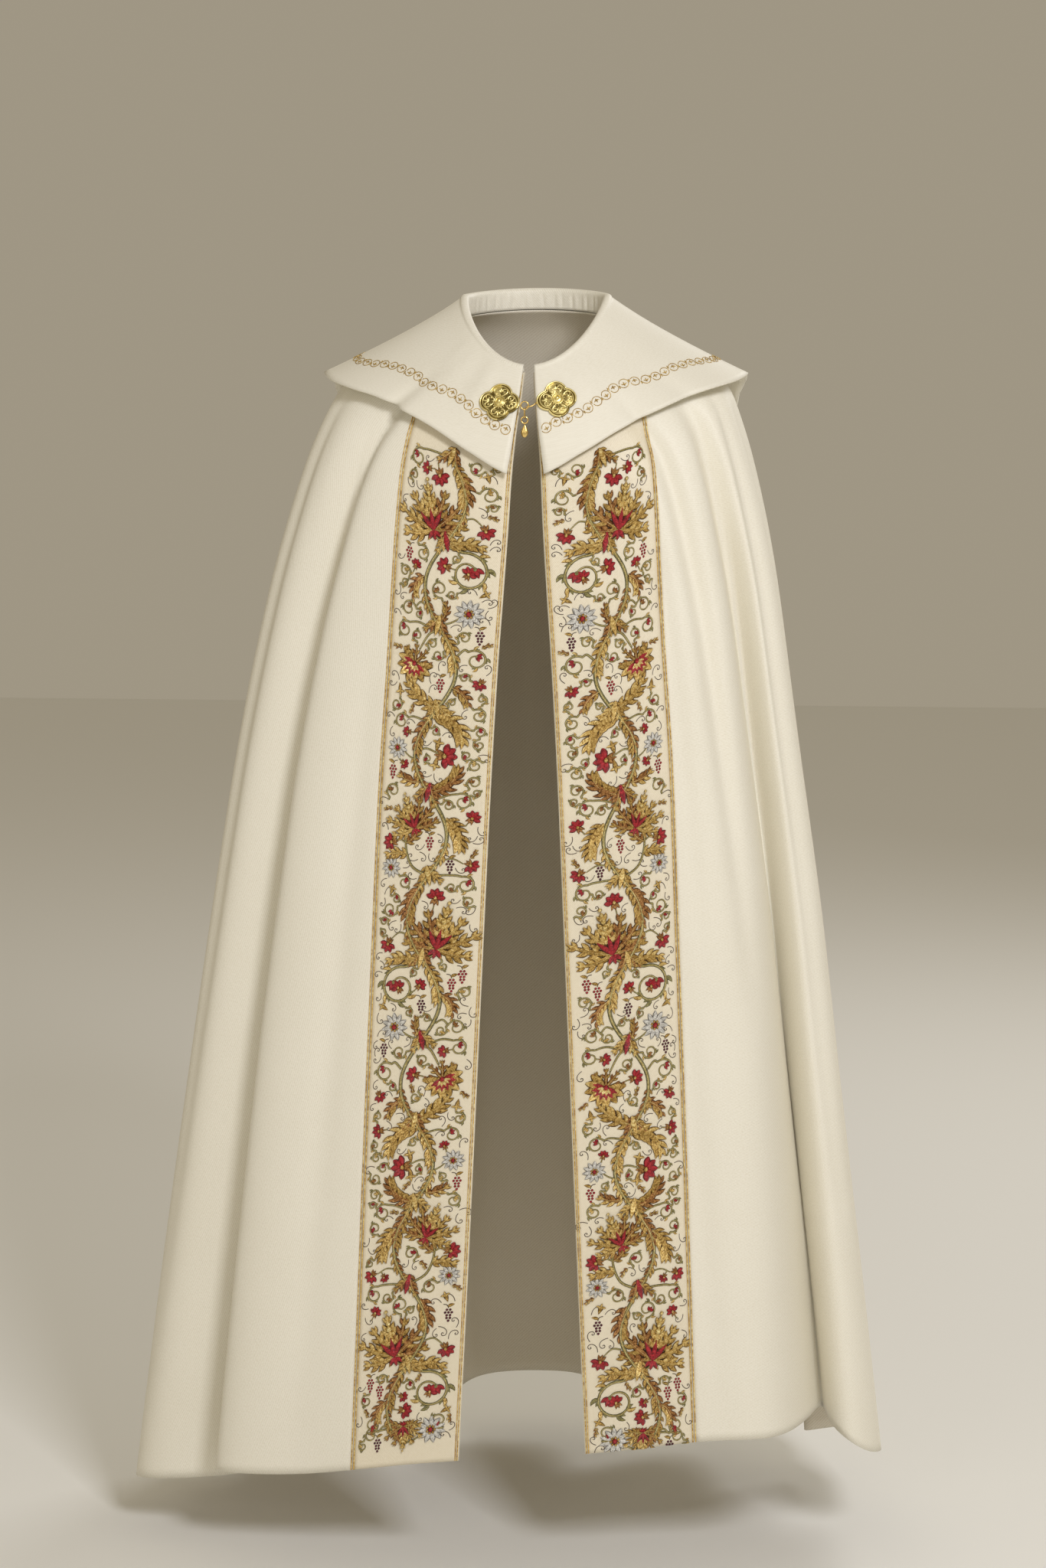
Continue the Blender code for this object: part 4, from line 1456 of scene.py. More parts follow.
@dataclass
class BandEmbroidery:
    """A scrolling vine of leaves, flowers and berries down both bands, drawn once and mirrored.

    The vine swings from side to side. Each bay is the hollow of one swing: u is across, from the
    band's middle towards the hollow, and v is down from the bay's middle.
    """

    top: float = 138.0
    bottom: float = 1322.0
    bays: int = 12
    swing: float = 22.0
    edge: float = 61.0
    least_gap: float = 5.4

    def __post_init__(self) -> None:
        """Starts the work and sets the length of a bay."""
        self.work = StitchWork()
        self.bay = (self.bottom - self.top) / self.bays

    def vine(self, s: Array) -> Array:
        """The vine's main stem at some places down the band."""
        return np.stack((-self.swing * np.sin(np.pi * (s - self.top) / self.bay), s), -1)

    def draw(self) -> None:
        """Draws the whole vine."""
        s = np.linspace(self.top + 3, self.bottom - 22, 420)
        self.work.move(1, 0)
        self.work.stem(self.vine(s), 5.0, 0.0)
        bays = (self.fan_bay, self.scroll_bay, self.peony_bay, self.leaf_bay, self.spray_bay)
        for bay in range(self.bays):
            hand = 1 if bay % 2 == 0 else -1
            self.work.move(hand, self.top + (bay + 0.5) * self.bay)
            bays[bay % len(bays)]()
            self.trunk(bay)
            self.sheath(bay)
        self.work.move(1, 0)
        self.foot()
        self.fill()

    def fan_bay(self) -> None:
        """A great fan that opens upwards, a scroll above it and a leaf behind the stem."""
        work = self.work
        work.stem(work.curve(((-3, 46), (8, 45), (18, 37))), 3.6)
        work.fan((15, 35), -76, 56, *BRIGHT)
        work.spiral(((-5, -42), (12, -52), (32, -53)), (45, -41), 11, -110, 400, 3.0)
        work.tendril((57, -16), 8, 95, 500)
        work.acanthus((-13, -33), 125, 46, 24, -62, 5, *DEEP)
        work.stem(work.curve(((-22, 18), (-32, 16), (-42, 24))), 2.4)
        work.blossom((-46, 30), 10.5, 110)
        work.tendril((-34, 2), 9, 175, -480)
        work.tendril((-54, -26), 9, -80, 460)
        work.trumpet((-46, -28), -70, 12)

    def scroll_bay(self) -> None:
        """A great scroll with a blossom inside, a daisy below it and leaves round them."""
        work = self.work
        work.spiral(((-4, -45), (6, -46)), (29, -18), 25, -105, 430, 4.0, 5)
        work.blossom((30, -17), 9.5, -60)
        work.acanthus((4, -46), -28, 50, 20, 66, 5, *BRIGHT, 0.9)
        work.stem(work.curve(((-2, 46), (12, 42), (22, 36))), 2.8)
        work.daisy((33, 30), 17)
        work.acanthus((2, 40), -58, 26, 13, -60, 4, *DEEP)
        work.trumpet((43, 10), -30, 12)
        work.berries((-46, -36), CRIMSON)
        work.acanthus((-24, -8), 150, 34, 19, -95, 5, GOLD, BRONZE)
        work.spiral(((-18, 26), (-26, 22)), (-42, 32), 10, -20, -380, 2.6, 2, BRONZE)
        work.tendril((56, 44), 8, -100, -480)
        work.tendril((-58, 6), 8, 60, 430)

    def peony_bay(self) -> None:
        """A full flower on a curved stem with a great leaf below."""
        work = self.work
        work.stem(work.curve(((-3, -46), (12, -42), (24, -22))), 3.4)
        work.peony((29, -5), 21, 62)
        work.acanthus((2, 44), -24, 50, 24, -34, 5, *BRIGHT)
        work.spiral(((6, -46), (26, -53)), (45, -42), 10.5, -120, 390, 2.8, 2, CRIMSON)
        work.spiral(((-22, -18), (-30, -26)), (-43, -14), 13, -50, -410, 3.0, 3)
        work.berries((-46, -47))
        work.acanthus((-19, 20), 160, 33, 18, -70, 4, *DEEP)
        work.blossom((-49, 14), 8.5, 60)
        work.tendril((6, 18), 9, -60, -500)
        work.tendril((-40, 44), 8, 20, 480)
        work.trumpet((48, 20), 100, 13)

    def leaf_bay(self) -> None:
        """Two great leaves that curl towards a crimson flower."""
        work = self.work
        work.acanthus((-3, -46), 4, 64, 27, 96, 6, *BRIGHT, 0.8)
        work.acanthus((0, 45), -8, 54, 24, -88, 6, *DEEP)
        work.stem(work.curve(((-21, 0), (-8, -6), (8, 0))), 2.8)
        work.blossom((15, 2), 15, 5)
        work.trumpet((6, 3), 100, 15)
        work.trumpet((4, -3), -75, 15)
        work.daisy((-45, -4), 13)
        work.stem(work.curve(((-22, 8), (-30, 4), (-36, -1))), 2.2)
        work.spiral(((-10, -38), (-26, -42)), (-42, -35), 10, -30, -390, 2.6, 2, CRIMSON)
        work.acanthus((-13, 34), 175, 33, 17, 50, 4, GOLD, BRONZE)
        work.berries((-50, 18), CRIMSON)
        work.tendril((50, 2), 9, -20, 500)

    def spray_bay(self) -> None:
        """A spray of blossoms, a daisy and scrolls on one branch."""
        work = self.work
        work.stem(work.curve(((-1, 46), (20, 34), (28, 6), (18, -22))), 3.4)
        work.acanthus((25, 22), -12, 32, 18, 40, 4, *BRIGHT)
        work.acanthus((27, 8), -150, 30, 16, 60, 4, *DEEP)
        work.fan((17, -10), -70, 42, *BRIGHT)
        work.blossom((47, 8), 11, 10)
        work.stem(work.curve(((28, 8), (36, 4), (43, 6))), 2.2)
        work.daisy((46, 38), 12.5)
        work.spiral(((-6, -44), (-22, -50)), (-38, -42), 11, -60, -400, 2.8, 3)
        work.acanthus((-20, -22), 140, 50, 25, -64, 6, *BRIGHT)
        work.blossom((-50, 34), 9.5, 130)
        work.stem(work.curve(((-17, 28), (-30, 26), (-42, 32))), 2.2)
        work.tendril((12, 18), 8, 170, -480)
        work.tendril((-56, -14), 8, 80, 460)
        work.tendril((52, -40), 9, -30, 480)

    def fill(self) -> None:
        """Grows small scrolls, flowers, leaves and tendrils into the gaps, the widest first."""
        work = self.work
        x, s = np.meshgrid(np.arange(-57.0, 57.1, 2.5), np.arange(self.top + 4, self.bottom - 3, 2.5))
        spots = np.stack((x.ravel(), s.ravel()), -1)
        gap = self.edge - np.abs(spots[:, 0])
        drawn = 0
        for number in range(900):
            for part in work.taken[drawn:]:
                near = np.flatnonzero(np.abs(spots[:, 1] - part[:, 1].mean()) < 30 + np.ptp(part[:, 1]) / 2)
                away = np.linalg.norm(spots[near, None] - part[None, :, :2], axis=-1) - part[None, :, 2]
                gap[near] = np.minimum(gap[near], away.min(axis=1))
            drawn = len(work.taken)
            best = int(np.argmax(gap))
            if gap[best] < self.least_gap:
                break
            self.filler(spots[best], float(gap[best]), number)
            gap[best] = 0.0

    def filler(self, spot: Array, gap: float, number: int) -> None:
        """One small growth from what is nearest into a gap.

        Args:
            spot: The middle of the gap.
            gap: Its radius.
            number: How many came before it.
        """
        work = self.work
        taken = np.concatenate(work.taken)
        away = np.linalg.norm(taken[:, :2] - spot, axis=1)
        root = taken[int(np.argmin(away)), :2]
        angle = math.degrees(math.atan2(spot[1] - root[1], spot[0] - root[0]))
        hand = 1 if number % 2 else -1
        warm = WARM[number % 3]
        base = spot - (spot - root) / max(1e-6, np.linalg.norm(spot - root)) * gap * 0.85
        if gap > 7.6 and number % 4 == 1 and abs(spot[0]) < 50:
            work.stem(work.curve((root, base, spot)), 2.0)
            work.blossom(spot, gap * 0.86, angle)
        elif gap > 7.6 and number % 8 == 3 and abs(spot[0]) < 50:
            work.berries(spot - (0, 6.0), (PLUM, CRIMSON)[number // 8 % 2])
        elif gap > 7.0:
            bud = (CRIMSON, BRONZE, GOLD)[number % 3]
            work.spiral((root, base), spot, gap * 0.78, angle + 180, hand * 410, 2.7, 2, bud)
        elif gap > 6.0 and number % 3 == 0:
            turn, bend = angle - hand * 24, hand * 48
            work.acanthus(base, turn, gap * 1.9, gap * 1.1, bend, 3, warm, BRONZE, 0.3)
        else:
            work.tendril(base, gap * 1.25, angle - hand * 40, hand * 480)

    def sheath(self, bay: int) -> None:
        """The sheath of leaves where a branch leaves the vine at the top of a bay.

        Args:
            bay: The bay's number.
        """
        work = self.work
        at = (0, -self.bay / 2 - 15)
        light, deep = BRIGHT if bay % 2 else DEEP
        lean = 62
        work.acanthus(at, lean + 34, 30, 15, 30, 4, light, deep, 1.2)
        work.acanthus(at, lean - 4, 30, 15, -30, 4, light, deep, 1.2)
        work.petal(at, lean + 16, 24, 9, CRIMSON if bay % 3 == 1 else GOLD, 0, 1.6, 2.4)

    def trunk(self, bay: int) -> None:
        """A long leaf that clasps the vine down the outside of its swing.

        Args:
            bay: The bay's number.
        """
        light, deep = DEEP if bay % 2 else BRIGHT
        if bay % 3 != 1:
            self.work.acanthus((-3, -44), 132, 58, 19, -62, 6, light, deep, 0.9)
        if bay % 4 != 2:
            self.work.acanthus((-22, 4), 84, 42, 14, -44, 5, deep, light, 0.6)

    def foot(self) -> None:
        """The root of the vine at the hem."""
        base = (0.0, self.bottom - 26.0)
        self.work.fan(base, 90, 30, *BRIGHT)
        for side in (-1, 1):
            lead, centre = ((side * 4, base[1]),), (side * 42, base[1] - 4)
            self.work.spiral(lead, centre, 11, 90 - side * 90 + side * 60, side * 380, 2.8, 2)

    def build(self, bands: Sequence[FrontBand]) -> list[Object]:
        """Lays the work on the bands.

        Args:
            bands: The two bands.

        Returns:
            The embroidery of each.
        """
        self.draw()
        flat = self.work.flat_mesh("band_embroidery")
        pieces = []
        for band in bands:
            mesh = laid_mesh(flat, f"embroidery_{band.name}", band.place)
            faces_outwards(mesh, INSIDE)
            pieces.append(link_piece(mesh.name, mesh, "cope", thread_materials()))
        bpy.data.meshes.remove(flat)
        return pieces


@dataclass
class CapeCollar:
    """The wide collar: a stand inside the neck, a roll over it and a fall on the shoulders."""

    drape: Drape
    cloth: Material
    half_columns: int = 110
    thickness: float = 0.0024
    stand_back: float = 0.024
    stand_front: float = 0.007
    stand_foot: float = 0.0006
    stand_rise: float = 1.9
    stand_rise_power: float = 0.8
    stand_rows: int = 6
    roll: float = 0.0030
    roll_rows: int = 8
    fall_rows: int = 31
    clearance: float = 0.0075
    edge_top: float = 0.006
    edge_low: float = 0.022
    middle_share: float = 0.8
    probe: float = 0.05
    crease: float = 0.0026
    edge_wave: float = 0.0010

    def __post_init__(self) -> None:
        """Works out the collar's underside."""
        shares = np.linspace(0, 1, self.half_columns + 1)
        right, left = self.half(-1, shares), self.half(1, shares)
        under = np.concatenate((right, left[:, -2::-1]), axis=1)
        self.under = Lattice(under, UNDER_COLLAR)

    def half(self, side: int, back: Array) -> Array:
        """The underside of one half, as rows of points from the stand's foot to the outer edge.

        Args:
            side: 1 on the wearer's left and -1 on the right.
            back: Shares from the front edge, 0, to the middle of the back, 1.

        Returns:
            The points, row by row.
        """
        drape = self.drape
        zero = np.zeros_like(back)
        top = drape.angle_beside(np.array(self.edge_top), np.array(0.0), side)
        top_angle = side * (top + (180.0 - top) * back)
        rim = drape.points(top_angle, zero)
        out = drape.plan(top_angle, drape.section(zero))[2]
        share = (1 - np.cos(np.radians(top_angle))) / 2
        rise = np.minimum(1, self.stand_rise * share) ** self.stand_rise_power
        stand = (self.stand_front + (self.stand_back - self.stand_front) * rise)[:, None]
        turn = np.radians(top_angle)
        pucker = 0.0007 * np.sin(turn * 41) + 0.0005 * np.sin(turn * 67 + 1)
        rows = []
        for k in range(self.stand_rows):
            lift = self.stand_foot + (stand - self.roll - self.stand_foot) * k / self.stand_rows
            bulge = (pucker * math.sin(math.pi * k / self.stand_rows))[:, None]
            rows.append(rim + UP * lift + out * bulge)
        centre = rim + out * self.roll + UP * (stand - self.roll)
        for k in range(self.roll_rows + 1):
            bend = math.pi * (1 - k / self.roll_rows)
            rows.append(centre + self.roll * (out * math.cos(bend) + UP * math.sin(bend)))
        start = rows[-1]
        near = np.array([side * 0.1])
        edge_level = drape.level_at_height(near, at_angle(COLLAR_EDGES, np.abs(near), "height"))[0]
        low = drape.angle_beside(np.array(self.edge_low), np.array(edge_level), side)
        low_angle = side * (low + (180.0 - low) * back)
        end_level = drape.level_at_height(low_angle, at_angle(COLLAR_EDGES, np.abs(low_angle), "height"))
        off = at_angle(COLLAR_EDGES, np.abs(low_angle), "stand_off")[:, None]
        end = drape.points(low_angle, end_level) + drape.plan(low_angle, drape.section(end_level))[2] * off
        middle_angle = self.middle_share * top_angle + (1 - self.middle_share) * low_angle
        middle_level, probe = end_level / 2, self.probe
        beside = drape.points(middle_angle + probe, middle_level)
        beside = beside - drape.points(middle_angle - probe, middle_level)
        down = drape.points(middle_angle, middle_level + probe)
        down = down - drape.points(middle_angle, middle_level - probe)
        outward = normalised(np.cross(beside, down))
        plan = drape.plan(middle_angle, drape.section(middle_level))[2]
        outward = np.where(np.sum(outward * plan, -1, keepdims=True) < 0, -outward, outward)
        middle = drape.points(middle_angle, middle_level) + outward * self.clearance
        control = 2 * middle - (start + end) / 2
        for low_share in np.linspace(0, 1, self.fall_rows)[1:]:
            high_share = 1 - low_share
            point = high_share**2 * start + 2 * low_share * high_share * control + low_share**2 * end
            rows.append(point + outward * self.wrinkles(low_angle, low_share)[:, None])
        return np.stack(rows)

    def wrinkles(self, angle: Array, down: float) -> Array:
        """Soft creases near the neck and slow waves of the free edge, in metres.

        Args:
            angle: Degrees from the front.
            down: Share of the way down the fall.

        Returns:
            How far the cloth stands out.
        """
        fade = math.sin(math.pi * min(1.0, down * 1.15)) ** 1.2
        near = np.exp(-(((angle + 24) / 5) ** 2)) + 0.8 * np.exp(-(((angle + 41) / 6) ** 2))
        other = 0.7 * np.exp(-(((angle - 30) / 6) ** 2)) + 0.6 * np.exp(-(((angle - 66) / 8) ** 2))
        slow = self.edge_wave * np.sin(np.radians(angle) * 7 + 0.6) * down**2
        return fade * self.crease * (near + other) * (1 - 0.6 * down) + slow

    def build(self) -> None:
        """Builds the collar's cloth, in place of its node."""
        mesh = cloth_mesh("collar_cloth", self.under)
        piece = link_piece("collar_cloth", mesh, "cope", [self.cloth, self.cloth])
        middle = mesh.polygons[len(mesh.polygons) * 3 // 4]
        if (middle.center - Vector(UNDER_COLLAR)).dot(middle.normal) < 0:
            mesh.flip_normals()
        give_thickness(piece, self.thickness, 1.0)
        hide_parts("collar")

    def place(self, flat: Array) -> Array:
        """World points over the collar's upper face, from shares across and down and millimetres up."""
        height = (flat[:, 2] * MM + self.thickness) * (-1.0 if self.under.flipped else 1.0)
        return self.under.at(flat[:, 0], flat[:, 1], np.abs(height))


@dataclass
class CollarChain:
    """A fine chain of rings with sprigs, embroidered above the collar's outer edge."""

    collar: CapeCollar
    ring: float = 6.3
    spacing: float = 13.6
    above_edge: float = 0.045
    ends: float = 11.0
    probe: float = 0.01
    wander: float = 2.6

    def build(self) -> Object:
        """Builds the chain.

        Returns:
            The piece.
        """
        under = self.collar.under
        rows, columns = under.points.shape[:2]
        hem = under.points[-1, ::2]
        away = np.linalg.norm(under.points[:, :, None] - hem[None, None], axis=-1).min(axis=-1)
        share = np.linspace(0, 1, columns)
        row = np.arange(rows)
        line = np.array([np.interp(-self.above_edge, -column, row) for column in away.T]) / (rows - 1)
        still = np.zeros(columns)
        path = under.at(share, line, still)
        tangent = normalised(np.gradient(path, axis=0))
        step = self.probe
        low, high = np.maximum(share - step, 0), np.minimum(share + step, 1)
        beside = (under.at(high, line, still) - under.at(low, line, still)) / (high - low)[:, None]
        down = (under.at(share, line + step, still) - under.at(share, line - step, still)) / (2 * step)
        normal = normalised(np.cross(beside, down))
        across = normalised(np.cross(normal, tangent))
        across = np.where(np.sum(across * down, -1, keepdims=True) < 0, -across, across)
        # How far a metre across the chain goes in each share of the collar.
        shift = np.stack([
            np.linalg.lstsq(np.stack(sides, 1), aim, rcond=None)[0]
            for *sides, aim in zip(beside, down, across)
        ])
        length = run_along(path) / MM
        made = StitchWork()
        count = round((length[-1] - 2 * self.ends) / self.spacing)
        for k in range(count + 1):
            x = self.ends + (length[-1] - 2 * self.ends) * k / count
            self.link(made, np.array((x, self.wander * math.sin(k * 0.83))), 1 if k % 2 else -1, k < count)
        flat = made.flat_mesh("collar_chain")

        def place(co: Array) -> Array:
            """Lays stitches along the chain.

            Args:
                co: Rows of millimetres along, across and over the cloth.

            Returns:
                World points.
            """
            s = np.interp(co[:, 0], length, share)
            t = np.interp(s, share, line)
            s = s + co[:, 1] * MM * np.interp(co[:, 0], length, shift[:, 0])
            t = t + co[:, 1] * MM * np.interp(co[:, 0], length, shift[:, 1])
            return self.collar.place(np.stack((s, t, co[:, 2]), -1))

        mesh = laid_mesh(flat, "collar_chain_embroidery", place)
        bpy.data.meshes.remove(flat)
        faces_outwards(mesh, UNDER_COLLAR)
        return link_piece("collar_chain_embroidery", mesh, "cope", thread_materials())

    def link(self, made: StitchWork, centre: Array, hand: int, joined: bool) -> None:
        """One ring of the chain with its sprig, and the curl that joins it to the next.

        Args:
            made: The work.
            centre: The ring's centre.
            hand: 1 or -1, the side on which the ring opens.
            joined: Whether another ring follows.
        """
        share = np.linspace(0, 1, 22)
        turn = hand * (0.2 + 5.9 * share)
        reach = self.ring * (1 - 0.16 * share)
        made.cord(centre + round_about(turn) * reach[:, None], 1.15, GOLD, 0.1)
        if joined:
            rest = self.spacing - self.ring
            ahead = centre + ((self.ring, 0), (self.spacing * 0.5, hand * 4.6), (rest, hand * 1.2))
            made.cord(made.curve(ahead, 5), 1.0, GOLD, 0.1)
        for spread in (-64, 0, 64):
            base, long = centre + (0, hand * 2.2), self.ring * 0.62
            made.petal(base, -90 * hand + spread, long, 1.9, GOLD, 0, 0.7, 0.1, 4)
        made.dot(centre + (0, hand * 3.0), 0.8, OLD_GOLD, 0.2)


@dataclass
class ClaspPlate:
    """A cast plate of four lobes with scrollwork, a rim and a boss."""

    name: str
    x: float
    z: float
    turn: float
    width: float
    height: float
    tip: float
    wall: float = 0.0012
    relief: float = 0.0024
    seat: float = 0.0006
    notch: float = 0.23
    notch_power: float = 0.9
    tip_power: int = 8
    # How bright the metal is, as a share: on the ornament, in the ground, and for each metre up.
    ornament_light: float = 0.62
    ground_light: float = 0.10
    light_per_metre: float = 60.0

    def lie_on(self, cloth: BVHTree, reach: float) -> Matrix:
        """The plate's place on the collar: its columns are right, up, out and the middle.

        Args:
            cloth: The collar's solid.
            reach: How far from its middle the plate touches it.

        Returns:
            The place as a matrix.
        """

        def hit(across: float, up: float) -> Vector:
            """Where the cloth lies behind a point of the plate."""
            return cloth.ray_cast(Vector((self.x + across, -1.0, self.z + up)), Vector((0.0, 1.0, 0.0)))[0]

        middle = hit(0.0, 0.0)
        right = (hit(reach, 0.0) - hit(-reach, 0.0)).normalized()
        out = right.cross(hit(0.0, reach) - hit(0.0, -reach)).normalized()
        turns = [math.radians(30 * i) for i in range(12)]
        rise = max((hit(reach * math.cos(i), reach * math.sin(i)) - middle).dot(out) for i in turns)
        middle = middle + out * (max(0.0, rise) + self.seat)
        up = out.cross(right)
        return Matrix.Translation(middle) @ Matrix((right, up, out)).transposed().to_4x4()

    def outline(self, turn: Array, share: Array) -> Array:
        """Points of the plate's plan at a direction and a share of the way out, in millimetres.

        Args:
            turn: Directions from the middle.
            share: Shares of the way to the edge.

        Returns:
            The points.
        """
        inward = -math.copysign(1.0, self.x)
        lobe = 1.0 - self.notch * (1.0 - np.abs(np.cos(2 * turn)) ** self.notch_power)
        lobe = lobe + self.tip * np.maximum(0.0, inward * np.cos(turn)) ** self.tip_power
        across = share * lobe * np.cos(turn) * self.width / 2
        up = share * lobe * np.sin(turn) * self.height / 2
        return np.stack((across, up), -1)

    def build(self, cloth: BVHTree, metal: Material) -> None:
        """Builds the plate on the collar.

        Args:
            cloth: The solid of the collar.
            metal: The plate's material.
        """
        made = bmesh.new()
        bmesh.ops.create_uvsphere(made, u_segments=96, v_segments=20, radius=1.0)
        for point in made.verts:
            flat = math.hypot(point.co.x, point.co.y)
            turn = math.atan2(point.co.y, point.co.x)
            share = math.asin(min(1.0, flat)) / (math.pi / 2)
            plan = self.outline(np.array(turn), np.array(share))
            height = 0.0
            if share > 0.99:
                height = self.wall / 2
            elif point.co.z > 0:
                dish = 0.35 + 0.3 * share * math.cos(2 * turn) ** 2
                height = self.wall + self.relief * dish * math.sin(math.pi * min(1.0, share * 1.02))
            point.co = (plan[0], plan[1], height)
        layer = made.verts.layers.float.new("relief")
        ground = len(made.verts)
        self.add_rim(made)
        for lobe in range(4):
            self.add_scrolls(made, lobe)
        self.add_boss(made)
        for number, point in enumerate(made.verts):
            above = self.light_per_metre * max(0.0, point.co.z - self.wall)
            point[layer] = self.ornament_light if number >= ground else self.ground_light + above
        bmesh.ops.remove_doubles(made, verts=made.verts, dist=WELD)
        bmesh.ops.recalc_face_normals(made, faces=made.faces)
        place = self.lie_on(cloth, self.height / 2 - 0.001)
        whole = place @ Matrix.Rotation(math.radians(self.turn), 4, "Z")
        bmesh.ops.transform(made, matrix=whole, verts=made.verts)
        mesh = mesh_from(made, self.name + "_cast")
        mesh.shade_smooth()
        piece = link_piece(mesh.name, mesh, "cope", [metal])
        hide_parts(self.name)

    def add_rim(self, made: BMesh) -> None:
        """A raised wire round the edge.

        Args:
            made: The plate.
        """
        turn = np.linspace(0, math.tau, 121)
        for share, wire, height in ((0.985, 0.0011, 0.0), (0.85, 0.0006, 0.0011)):
            plan = self.outline(turn, np.full_like(turn, share))
            path = np.concatenate((plan, np.full((len(turn), 1), self.wall + height)), axis=1)
            tube(made, path, wire, 6, UP, closed=True)

    def add_scrolls(self, made: BMesh, lobe: int) -> None:
        """Two scrolls and a small palmette in one lobe.

        Args:
            made: The plate.
            lobe: The lobe's number.
        """
        turn = Matrix.Rotation(lobe * math.pi / 2, 2)
        scale = np.array((self.width, self.height)) / 2
        share = np.linspace(0, 1, 22)
        for hand in (-1, 1):
            wind = np.radians(200 - 430 * share)
            reach = 0.17 * (1 - 0.72 * share)
            local = np.stack((0.60 + reach * np.cos(wind), hand * (0.20 + reach * np.sin(wind))), -1)
            self.lay_tube(made, local, turn, scale, 0.00075 * (1.15 - 0.5 * share), 0.0017)
        for spread, length in ((-34, 0.27), (0, 0.36), (34, 0.27)):
            angle = math.radians(spread)
            run = np.linspace(0.02, 1, 9)
            local = np.stack((0.50 + run * length * math.cos(angle), run * length * math.sin(angle)), -1)
            wire = 0.0013 * np.sin(np.pi * np.clip(run, 0.08, 0.95)) ** 0.7
            self.lay_tube(made, local, turn, scale, wire, 0.0019)
        for hand in (-1, 1):
            run = np.linspace(0, 1, 9)
            angle = math.radians(45 * hand)
            local = np.stack((0.28 + 0.34 * run, hand * 0.30 * run**0.7), -1)
            local = local @ np.array(Matrix.Rotation(-angle * 0.2, 2))
            wire = 0.0010 * np.sin(np.pi * np.clip(run, 0.1, 0.95)) ** 0.6
            self.lay_tube(made, local, turn, scale, wire, 0.0020)

    def lay_tube(
        self, made: BMesh, local: Array, turn: Matrix, scale: Array, radius: Array, height: float
    ) -> None:
        """Lays a tapering wire on the plate.

        Args:
            made: The plate.
            local: Points in shares of the plate's half width and height.
            turn: The turn of the lobe that they lie on.
            scale: The plate's half width and height.
            radius: The wire's radius at each point.
            height: Its height over the wall, before it is sunk in.
        """
        plan = local @ np.array(turn).T * scale
        path = np.concatenate((plan, np.full((len(plan), 1), self.wall + height * 0.6)), axis=1)
        grid = tube(made, path, radius, 6, UP)
        bmesh.ops.remove_doubles(made, verts=grid, dist=WELD)
        ends = {edge for point in grid if point.is_valid for edge in point.link_edges if edge.is_boundary}
        bmesh.ops.holes_fill(made, edges=list(ends), sides=8)

    def add_boss(self, made: BMesh) -> None:
        """A ring of beads round a ring and a knob in the middle.

        Args:
            made: The plate.
        """
        turn = np.linspace(0, math.tau, 41)
        for radius, wire, height in ((0.0066, 0.0008, 0.0016), (0.0044, 0.0007, 0.0026)):
            level = np.full((len(turn), 1), self.wall + height)
            path = np.concatenate((round_about(turn) * radius, level), axis=1)
            tube(made, path, wire, 6, UP, closed=True)
        knob = bmesh.ops.create_uvsphere(made, u_segments=20, v_segments=10, radius=0.0026)["verts"]
        bmesh.ops.translate(made, verts=knob, vec=(0.0, 0.0, self.wall + 0.0026))
        dish = bmesh.ops.create_uvsphere(made, u_segments=28, v_segments=8, radius=0.0064)["verts"]
        bmesh.ops.scale(made, verts=dish, vec=(1.0, 1.0, 0.34))
        bmesh.ops.translate(made, verts=dish, vec=(0.0, 0.0, self.wall + 0.0004))
        for k in range(16):
            angle = k * math.tau / 16
            bead = bmesh.ops.create_icosphere(made, subdivisions=1, radius=0.0008)["verts"]
            place = (math.cos(angle) * 0.0082, math.sin(angle) * 0.0082, self.wall + 0.0014)
            bmesh.ops.translate(made, verts=bead, vec=place)


